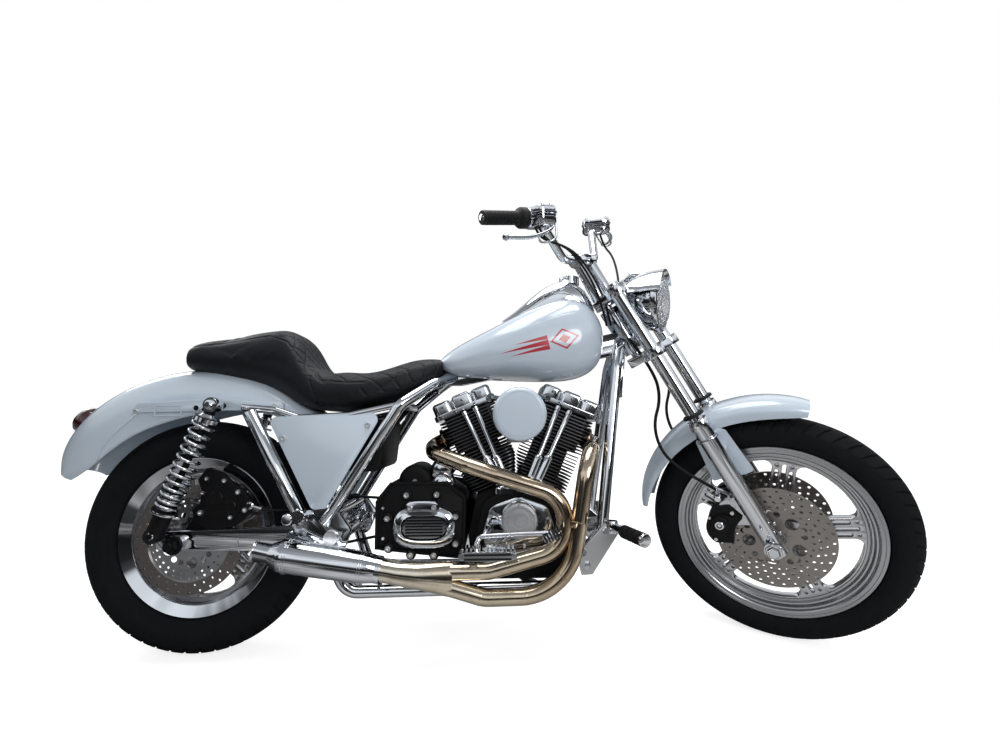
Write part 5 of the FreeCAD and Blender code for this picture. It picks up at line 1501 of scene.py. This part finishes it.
barControls()
grips()
for number, route in enumerate(cockpit["throttle"]):
    cordPiece("throttleCable%d" % (number + 1), mirrored(route, -1), 3.2)
cordPiece("clutchCable", cockpit["clutch"], 3.6)
handMade.update(("bar_controls", "grips"))
print("handlebar dressed")

# Upper engine: pushrod covers, rocker screws, air cleaner, breather bolts
upper = {"crank": (895.0, 315.0), "halfAngle": 22.5, "finReach": 60.0, "cleaner": (895, 649.4),
         # rows of rocker screws: height over the crank, y, size and places along the box
         "screwRows": [(386.0, 79.8, 0.95, (-70, -30, 30, 70)), (410.0, 74.6, 0.75, (-58, 0, 58))],
         "rodFeet": [(22, 122, 14), (46, 154, 0)], "breathers": [(819, 700), (981, 700)]}


def pushrods():
    tubes, seals = [], []
    for sign in (-1, 1):
        for foot, reach, lift in upper["rodFeet"]:
            base = Vector((upper["crank"][0] + sign * foot, -90, 447))
            tip = Vector((upper["crank"][0] + sign * reach, -77, 668 + lift))
            along = (tip - base).normalized()
            long = (tip - base).length
            tubes.append(knob([(14.5, 0), (14.5, 5), (12.5, 7), (11.5, 8), (11.5, 88), (13, 90), (13.3, 94),
                               (11.6, 97), (10.4, 99), (8.0, 101), (7.2, 104), (7.2, long - 22), (9.0, long - 20),
                               (9.0, long - 2)], base, along, 40))
            seals.append(ring([(10.6, 9), (12.6, 9), (12.8, 12), (12.4, 15), (10.6, 15)], base, along, 40))
            seals.append(ring([(8, long - 8), (11.2, long - 8), (11.4, long - 3), (8, long - 3)], base, along, 40))
        # the block that carries both feet
        middle = upper["crank"][0] + sign * 34
        tubes.append(stacked((middle, -88, 446), (1, 0, 0), (0, 1, 0), [(31, 17, -12), (31, 17, 3), (28, 14, 7)],
                             3.4, 40))
    madeOf("pushrodCovers", tubes, "chrome", "chassis", "pushrod_tubes", sharp=32)
    madeOf("pushrodSeals", seals, "black_rubber", "chassis", sharp=32)


def rockerScrews():
    screws = []
    for sign in (-1, 1):
        tilt = math.radians(upper["halfAngle"]) * sign
        along = Vector((math.sin(tilt), 0, math.cos(tilt)))
        across = Vector((math.cos(tilt), 0, -math.sin(tilt)))
        crank = Vector((upper["crank"][0], 0, upper["crank"][1]))
        for side in (-1, 1):
            for height, face, size, shifts in upper["screwRows"]:
                for shift in shifts:
                    spot = crank + along * height + across * shift + Vector((0, side * face, 0))
                    screws.append((tuple(spot), (0, side, 0), size))
    scattered("rockerScrews", socketScrew, screws, "chrome", "chassis")


def airCleaner():
    x, z = upper["cleaner"]
    profile = [(0, -172), (62, -172), (67.4, -177), (69, -181), (69, -203), (67, -204), (67, -206.5), (69, -207.5),
               (69, -215), (67.8, -221), (64.5, -226), (60, -228.8), (57.5, -229.4), (56.8, -228.6), (55.4, -228.6),
               (54.6, -229.6), (30, -230.3), (0, -230.6)]
    madeOf("airCleanerDisc", [turned(profile, (x, 0, z), (0, 1, 0), 96)], "white_paint", "chassis",
           "air_cleaner", sharp=28)
    backing = [knob([(58, -160), (60, -163), (60, -173)], (x, 0, z), (0, 1, 0), 64)]
    for bx, bz in upper["breathers"]:
        backing.append(knob([(15, -58), (15, -66), (12, -70), (12, -82), (10, -84)], (bx, 0, bz),
                            (0, 1, 0), 32))
        backing.append(knob([(7.5, -82), (7.5, -92), (6, -93.5)], (bx, 0, bz), (0, 1, 0), 6))
        link = Vector((bx + (x - bx) * 0.5, -150, bz - 24))
        backing.append(swept(smoothLine([(bx, -76, bz), ((bx * 2 + x) / 3, -110, bz - 6), tuple(link)], 8), 8, 16))
    madeOf("airCleanerMount", backing, "chrome", "chassis", sharp=30)


pushrods()
rockerScrews()
airCleaner()
handMade.update(("pushrod_tubes", "air_cleaner"))
print("upper engine dressed")

# Foot controls: hangers, serrated pegs, toothed boards and the brake pedal
foot = {
    "hanger": [(1046, 281), (1058, 227), (1087, 229), (1162, 337), (1146, 364), (1123, 358), (1068, 302)],
    "peg": [(1142, 130, 350), (1160, 178, 348), (1190, 266, 343)],
    "board": {"x": (742, 882), "z": (300, 324), "y": (218, 266), "teeth": 42},
    "passenger": ((330, 150.3, 392), (330, 252, 400))}


def toothedPeg(start, end, radius, teeth, grooves):
    # a rubber with ridges round it and ribs along it
    start, end = Vector(start), Vector(end)
    axis = (end - start).normalized()
    long = (end - start).length
    side = axis.orthogonal().normalized()
    over = axis.cross(side)
    steps = teeth * 4
    rows = [(0.0, 0.8), (0.02, 1.0)]
    for k in range(grooves):
        at = (k + 1) / (grooves + 1)
        rows += [(at - 0.03, 1.0), (at - 0.02, 0.88), (at + 0.02, 0.88), (at + 0.03, 1.0)]
    rows += [(0.98, 1.0), (1.0, 0.86)]
    points = []
    for share, scale in rows:
        for k, (c, s) in enumerate(circle(steps)):
            reach = radius * scale * (0.9 if scale > 0.9 and k % 4 > 1 else 1.0)
            points.append(start + axis * (long * share) + (side * c + over * s) * reach)
    return points, capped(len(rows), steps)


def toothedBoard(side):
    size = foot["board"]
    x0, x1 = size["x"]
    z0, z1 = size["z"]
    middle, half = (z0 + z1) / 2, (z1 - z0) / 2
    outline = []
    for k, (c, s) in enumerate(circle(size["teeth"] * 2)):
        reach = 1.0 if k % 2 else 0.88
        outline.append(((x0 + x1) / 2 + (x1 - x0) / 2 * math.copysign(abs(c) ** 0.75, c) * (0.98 + 0.02 * reach),
                        middle + half * math.copysign(abs(s) ** 0.6, s) * reach))
    return slab(outline, side * size["y"][0], side * size["y"][1])


def footControls():
    bright, rubber, screws, hangers = [], [], [], []
    for side in (-1, 1):
        hangers.append(slab(foot["hanger"], side * 124, side * 134))
        bright.append(knob([(12, 96), (12, 126)], (1108, 0, 318), (0, side, 0), 32))
        start, middle, end = (Vector(point) for point in mirrored(foot["peg"], side))
        axis = (end - middle).normalized()
        bright.append(swept([start, start.lerp(middle, 0.5), middle + axis * 6], 12, 32))
        bright.append(knob([(15, -16), (16, -14), (16, 14), (15, 16)], start, (0, 0, 1), 32))
        rubber.append(toothedPeg(middle, end - axis * 4, 17, 18, 3))
        bright.append(turned([(0, -6), (15.5, -6), (17, -4), (17, 0), (15, 2.6), (9, 3.6), (0, 3.8)],
                             end - axis * 3.5, axis, 40))
        for x, z in ((1072, 252), (1062, 286), (1126, 340)):
            screws.append(((x, side * 134, z), (0, side, 0), 1.7))
        bright.append(toothedBoard(side))
        for k in range(13):
            x = 752 + 10 * k
            bright.append(block((x - 2.6, x + 2.6), (side * 219, side * 265), (323, 330)))
        for z in (306, 316):
            rubber.append(block((756, 868), (side * 265.6, side * 266.8), (z - 2.4, z + 2.4)))
        if side < 0:
            rootX = 775
            bright.append(knob([(11, 78.8), (11, 224)], (775, 0, 303), (0, -1, 0), 32))
        else:
            rootX = 812
            tube = arcPath([(812, 118, 202), (812, 152, 200), (812, 190, 206), (812, 224, 306)], [0, 16, 16, 0], 3)
            bright.append(swept(tube, 11, 24))
        bright.append(knob([(16, 205), (17, 207), (17, 222)], (rootX, 0, 306), (0, side, 0), 40))
        pedal = arcPath(mirrored([(rootX, 214, 306), (rootX + 16, 210, 346), (900, 214, 352), (965, 230, 356)], side),
                        [0, 12, 12, 0], 3)
        bright.append(swept(pedal, 7, 24, 0.8))
        pad = Vector((968, side * 242, 356))
        lean = Vector((0.92, 0, 0.39)).normalized()
        bright.append(stacked(pad, lean, (0, 1, 0), [(22, 26, -8), (24, 26, -6), (24, 26, 2), (22, 26, 4)],
                              6.0, 40))
        for k in range(6):
            rib = pad + lean * (-19 + 7.6 * k)
            rubber.append(stacked(rib, lean, (0, 1, 0), [(2.6, 26.6, -8.6), (2.6, 26.6, 6), (1.8, 25.6, 8)], 6.0, 20))
        first, last = (Vector(point) for point in mirrored(foot["passenger"], side))
        along = (last - first).normalized()
        bright.append(knob([(15, 0), (15, 26), (12, 30)], first, along, 40))
        rubber.append(toothedPeg(first + along * 30, last - along * 3, 15, 16, 4))
        bright.append(turned([(0, -4), (13, -4), (13.6, -2), (11, 0.4), (0, 1)], last, along, 40))
    madeOf("footBrightwork", bright, "chrome", "chassis", "foot_controls", sharp=34, bevel=0.8)
    madeOf("footHangers", hangers, "steel_hardware", "chassis", bevel=1.5)
    madeOf("footRubbers", rubber, "black_rubber", "chassis", sharp=34)
    scattered("footScrews", hexBolt, screws, "chrome", "chassis")


footControls()
handMade.add("foot_controls")
print("foot controls made")

# Seat: a leather cushion, puffed by a short cloth run, then quilted where the photograph shows it
cushion = {
    "voxel": 0.005, "frames": 20, "most": 0.005, "shrink": 0.0015, "fill": 0.85, "quiltDepth": 2.6, "seamDepth": 2.4,
    "diamond": (62.0, 44.0), "stitchGap": 2.4, "riderFrom": 330, "humpFrom": 232, "skirtFrom": 468,
    "cloth": {"use_pressure": True, "uniform_pressure_force": 4.0, "quality": 6, "tension_stiffness": 30,
              "compression_stiffness": 30, "bending_stiffness": 4},
    # the side seam that runs round the upper edge, as x and z
    "seam": [(-60, 846), (60, 858), (200, 878), (256, 858), (300, 806), (352, 748), (420, 742), (500, 742), (580, 758),
             (640, 784), (690, 790)]}


def puffed(piece):
    source = [v.co.copy() for v in piece.data.vertices]
    cloth = piece.modifiers.new("puff", "CLOTH")
    for key, value in cushion["cloth"].items():
        setattr(cloth.settings, key, value)
    cloth.settings.effector_weights.gravity = 0
    cloth.collision_settings.use_collision = False
    for frameNumber in range(1, cushion["frames"] + 1):
        bpy.context.scene.frame_set(frameNumber)
    blown = bpy.data.meshes.new_from_object(piece.evaluated_get(bpy.context.evaluated_depsgraph_get()))
    piece.modifiers.remove(cloth)
    for vertex, moved, start in zip(piece.data.vertices, blown.vertices, source):
        step = moved.co - start
        if step.length > cushion["most"]:
            step *= cushion["most"] / step.length
        vertex.co = start + step
    bpy.data.meshes.remove(blown)
    bpy.context.scene.frame_set(1)


def seamHeight(x):
    line = cushion["seam"]
    for (x0, z0), (x1, z1) in zip(line, line[1:]):
        if x0 <= x <= x1:
            return z0 + (z1 - z0) * (x - x0) / (x1 - x0)
    return line[0][1] if x < line[0][0] else line[-1][1]


def valley(distance, width):
    share = abs(distance) / width
    return math.exp(-share * share)


def creases(x, y, z, nx, ny, nz):
    # how deep each crease runs at a point, as a depth and a share
    if x > cushion["humpFrom"]:
        # distance along the top from the hump's crest, down its face and forward over the rider's part
        onHump = x < cushion["riderFrom"]
        run = (x - cushion["humpFrom"]) * 0.6 + (880 - z) * 0.9 if onHump else 118 + (x - cushion["riderFrom"])
        onTop = min(1.0, max(0.0, (nz if x > 350 else max(nz, nx)) - 0.25) / 0.2)
        onSkirt = 1.0 if x > cushion["skirtFrom"] and abs(ny) > 0.35 and z > 690 else 0.0
        reach = onTop if onTop > 0 else onSkirt
        if reach > 0 and nz > -0.3:
            long, wide = cushion["diamond"]
            over = abs(y) + max(0.0, (758 - z)) * (0.7 if x > cushion["skirtFrom"] else 0.0)
            u, v = run / long, over / wide
            for line in ((u + v) % 1.0, (u - v) % 1.0):
                gap = (line - 0.5) * long
                share = max(valley(gap - cushion["stitchGap"], 1.7), valley(gap + cushion["stitchGap"], 1.7))
                yield cushion["quiltDepth"], share * reach
    if abs(ny) > 0.3 and x < 480:
        yield cushion["seamDepth"], valley(z - seamHeight(x), 2.2)
    if 325 < x < 362 and z < seamHeight(x) and abs(ny) > 0.5:
        yield cushion["seamDepth"], valley(x - (325 + (752 - z) * 0.36), 2.0)


def quilted(piece):
    back = onBike.inverted()
    turn = back.to_3x3().normalized()
    mesh = piece.data
    normals = [v.normal.copy() for v in mesh.vertices]
    for vertex, normal in zip(mesh.vertices, normals):
        depths = [depth * share for depth, share in creases(*(back @ vertex.co), *(turn @ normal).normalized())]
        vertex.co = vertex.co - normal * (max(depths, default=0.0) / 1000)


def seatPiece():
    data = nodes["seat"].data.copy()
    welded(data, 0.00002)
    piece = newObject("seatLeather", data)
    remesh = piece.modifiers.new("even", "REMESH")
    remesh.mode = "VOXEL"
    remesh.voxel_size = cushion["voxel"]
    piece = applied(piece)
    for vertex, normal in zip(piece.data.vertices, [v.normal.copy() for v in piece.data.vertices]):
        vertex.co = vertex.co - normal * cushion["shrink"]
    smoother = piece.modifiers.new("settle", "SMOOTH")
    smoother.factor = 0.5
    smoother.iterations = 6
    piece = applied(piece)
    puffed(piece)
    finer = piece.modifiers.new("finer", "SUBSURF")
    finer.levels = finer.render_levels = 1
    piece = applied(piece)
    dress(piece, finishes["black_leather"])
    quilted(piece)
    piece.data.polygons.foreach_set("use_smooth", [True] * len(piece.data.polygons))
    finished(piece, "chassis", "black_leather", "seat")
    print("seat faces", len(piece.data.polygons))


seatPiece()
handMade.add("seat")
print("seat upholstered")

# Smooth copies of the hard pieces, with the small edge rounding that a casting or a pressing has
edgeRounding = {
    "gearbox": 2.5, "primary_cover": 4.0, "cam_cover": 2.0, "crankcase": 1.5, "fender_struts": 2.0, "side_panels": 2.0,
    "triple_clamps": 3.0, "starter_motor": 2.0, "oil_tank": 3.0, "swingarm": 3.0, "frame": 1.5, "fork_sliders": 2.0,
    "headlamp_shell": 2.0, "carburettor": 1.5, "rear_pulley": 1.0, "muffler": 1.5, "tail_lamp": 2.0,
    "headlamp_lens": 1.0}


def brightFins(piece):
    # the rims of the fins are machined bare
    back = onBike.inverted()
    turn = back.to_3x3().normalized()
    piece.data.materials.append(finishes["fin_edge"])
    crankX, crankZ = upper["crank"]
    for face in piece.data.polygons:
        x, y, z = back @ face.center
        lean = math.radians(upper["halfAngle"]) * (1 if x > crankX else -1)
        along = Vector((math.sin(lean), 0, math.cos(lean)))
        spot = Vector((x - crankX, 0, z - crankZ))
        out = (spot - along * spot.dot(along)).length
        if abs((turn @ face.normal).dot(along)) < 0.2 and max(abs(y), out) > upper["finReach"]:
            face.material_index = 1


def refined(node):
    data = nodes[node].data.copy()
    data.name = node + "Fine"
    welded(data, 0.00002, False, 0.6)
    data.polygons.foreach_set("use_smooth", [True] * len(data.polygons))
    piece = newObject(node + "Fine", data)
    if node in edgeRounding:
        rounded(piece, edgeRounding[node])
    else:
        data.set_sharp_from_angle(angle=math.radians(smoothAngle))
    if node == "cylinders":
        brightFins(piece)
    finished(piece, nodes[node]["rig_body"], slotOf[node], node)


for name in sorted(set(nodes) - handMade):
    refined(name)
print("smooth copies made")

# Ground, surroundings and lamps
studio = {
    # the ground's size and colour, what the camera is shown more, and what bright metal sees in patches
    "reach": 30.0, "colour": 0.6, "shown": 0.77, "mirrored": (0.05, 0.62), "groundPatches": 0.8,
    # brightness of the surroundings by the height of the look: a dark rim at the horizon gives the chrome its edges
    "light": 0.42, "heights": [(0.0, 0.12), (0.47, 0.06), (0.50, 0.01), (0.56, 0.02), (0.62, 0.07), (0.67, 0.85),
                               (0.76, 1.0), (0.84, 0.42), (1.0, 0.22)],
    "tint": (0.96, 1.0, 1.05), "skyline": 0.34, "skyPatches": 2.3,
    # each lamp's place, target, size and power
    "lamps": {"overhead": ((0.1, 0.3, 3.0), (0, 0, 0.4), 2.4, 62.0),
              "front": ((1.6, -2.6, 1.9), (0.1, 0, 0.5), 1.4, 30.0),
              "back": ((-2.4, 1.4, 2.0), (0, 0, 0.5), 1.4, 14.0)}}


def emptyTree(owner):
    owner.use_nodes = True
    owner.node_tree.nodes.clear()
    build = Builder(owner.node_tree)
    rays = {name: Maths(build, build.node("ShaderNodeLightPath").outputs["Is %s Ray" % name])
            for name in ("Camera", "Glossy", "Transmission")}
    return build, rays


def addFloor():
    reach = studio["reach"]
    corners = [(-reach, -reach, 0), (reach, -reach, 0), (reach, reach, 0), (-reach, reach, 0)]
    floor = newObject("floor", plainMesh("floor", corners, [(0, 1, 2, 3)]))
    material = bpy.data.materials.new("paleFloor")
    build, rays = emptyTree(material)
    place = build.node("ShaderNodeTexCoord").outputs["Object"]
    patches = build.value("ShaderNodeTexNoise", {}, {"Vector": place, "Scale": studio["groundPatches"]})
    patches = build.value("ShaderNodeMapRange", {}, [patches, 0.42, 0.58, *studio["mirrored"]])
    ground = rays["Glossy"] * (patches - studio["colour"]) + studio["colour"]
    seen = rays["Camera"].op("MAXIMUM", rays["Camera"], rays["Transmission"])
    diffuse = build.node("ShaderNodeBsdfDiffuse", {}, {"Color": ground})
    glow = build.node("ShaderNodeEmission", {}, {"Strength": seen * studio["shown"]})
    both = build.node("ShaderNodeAddShader", {}, [diffuse.outputs[0], glow.outputs[0]])
    build.node("ShaderNodeOutputMaterial", {}, {"Surface": both.outputs[0]})
    floor.data.materials.append(material)


def addWorld():
    world = bpy.context.scene.world = bpy.data.worlds.new("paleRoom")
    build, rays = emptyTree(world)
    place = build.node("ShaderNodeTexCoord").outputs["Generated"]
    height = build.node("ShaderNodeSeparateXYZ", {}, [place]).outputs["Z"]
    # an uneven skyline, so that bright metal doesn't mirror a ruled line
    sky = build.value("ShaderNodeTexNoise", {}, {"Vector": place, "Scale": studio["skyPatches"], "Detail": 3.0})
    level = build.value("ShaderNodeMapRange", {}, {"Value": height, "From Min": -1.0})
    level = level + (0.5 - sky) * studio["skyline"]
    stops = [(where, tuple(bright * part for part in studio["tint"])) for where, bright in studio["heights"]]
    ramp = build.value("ShaderNodeValToRGB", {"stops": stops}, {"Fac": level})

    def glow(strength, colour=(1, 1, 1, 1)):
        return build.node("ShaderNodeBackground", {}, {"Color": colour, "Strength": strength}).outputs[0]

    seen = glow(studio["light"])
    for ray, over in (("Glossy", glow(1.0, ramp)), ("Transmission", glow(1.0)), ("Camera", glow(1.0))):
        seen = build.node("ShaderNodeMixShader", {}, [rays[ray], seen, over]).outputs[0]
    build.node("ShaderNodeOutputWorld", {}, {"Surface": seen})


def addLamps():
    for name, (place, target, size, power) in studio["lamps"].items():
        data = bpy.data.lights.new(name, "AREA")
        data.shape = "DISK"
        data.size = size
        data.energy = power
        light = newObject(name, data)
        light.location = place
        light.rotation_euler = (Vector(target) - Vector(place)).to_track_quat("-Z", "Y").to_euler()


addFloor()
addWorld()
addLamps()
print("studio lit")

for unit in units:
    bpy.data.objects.remove(unit)
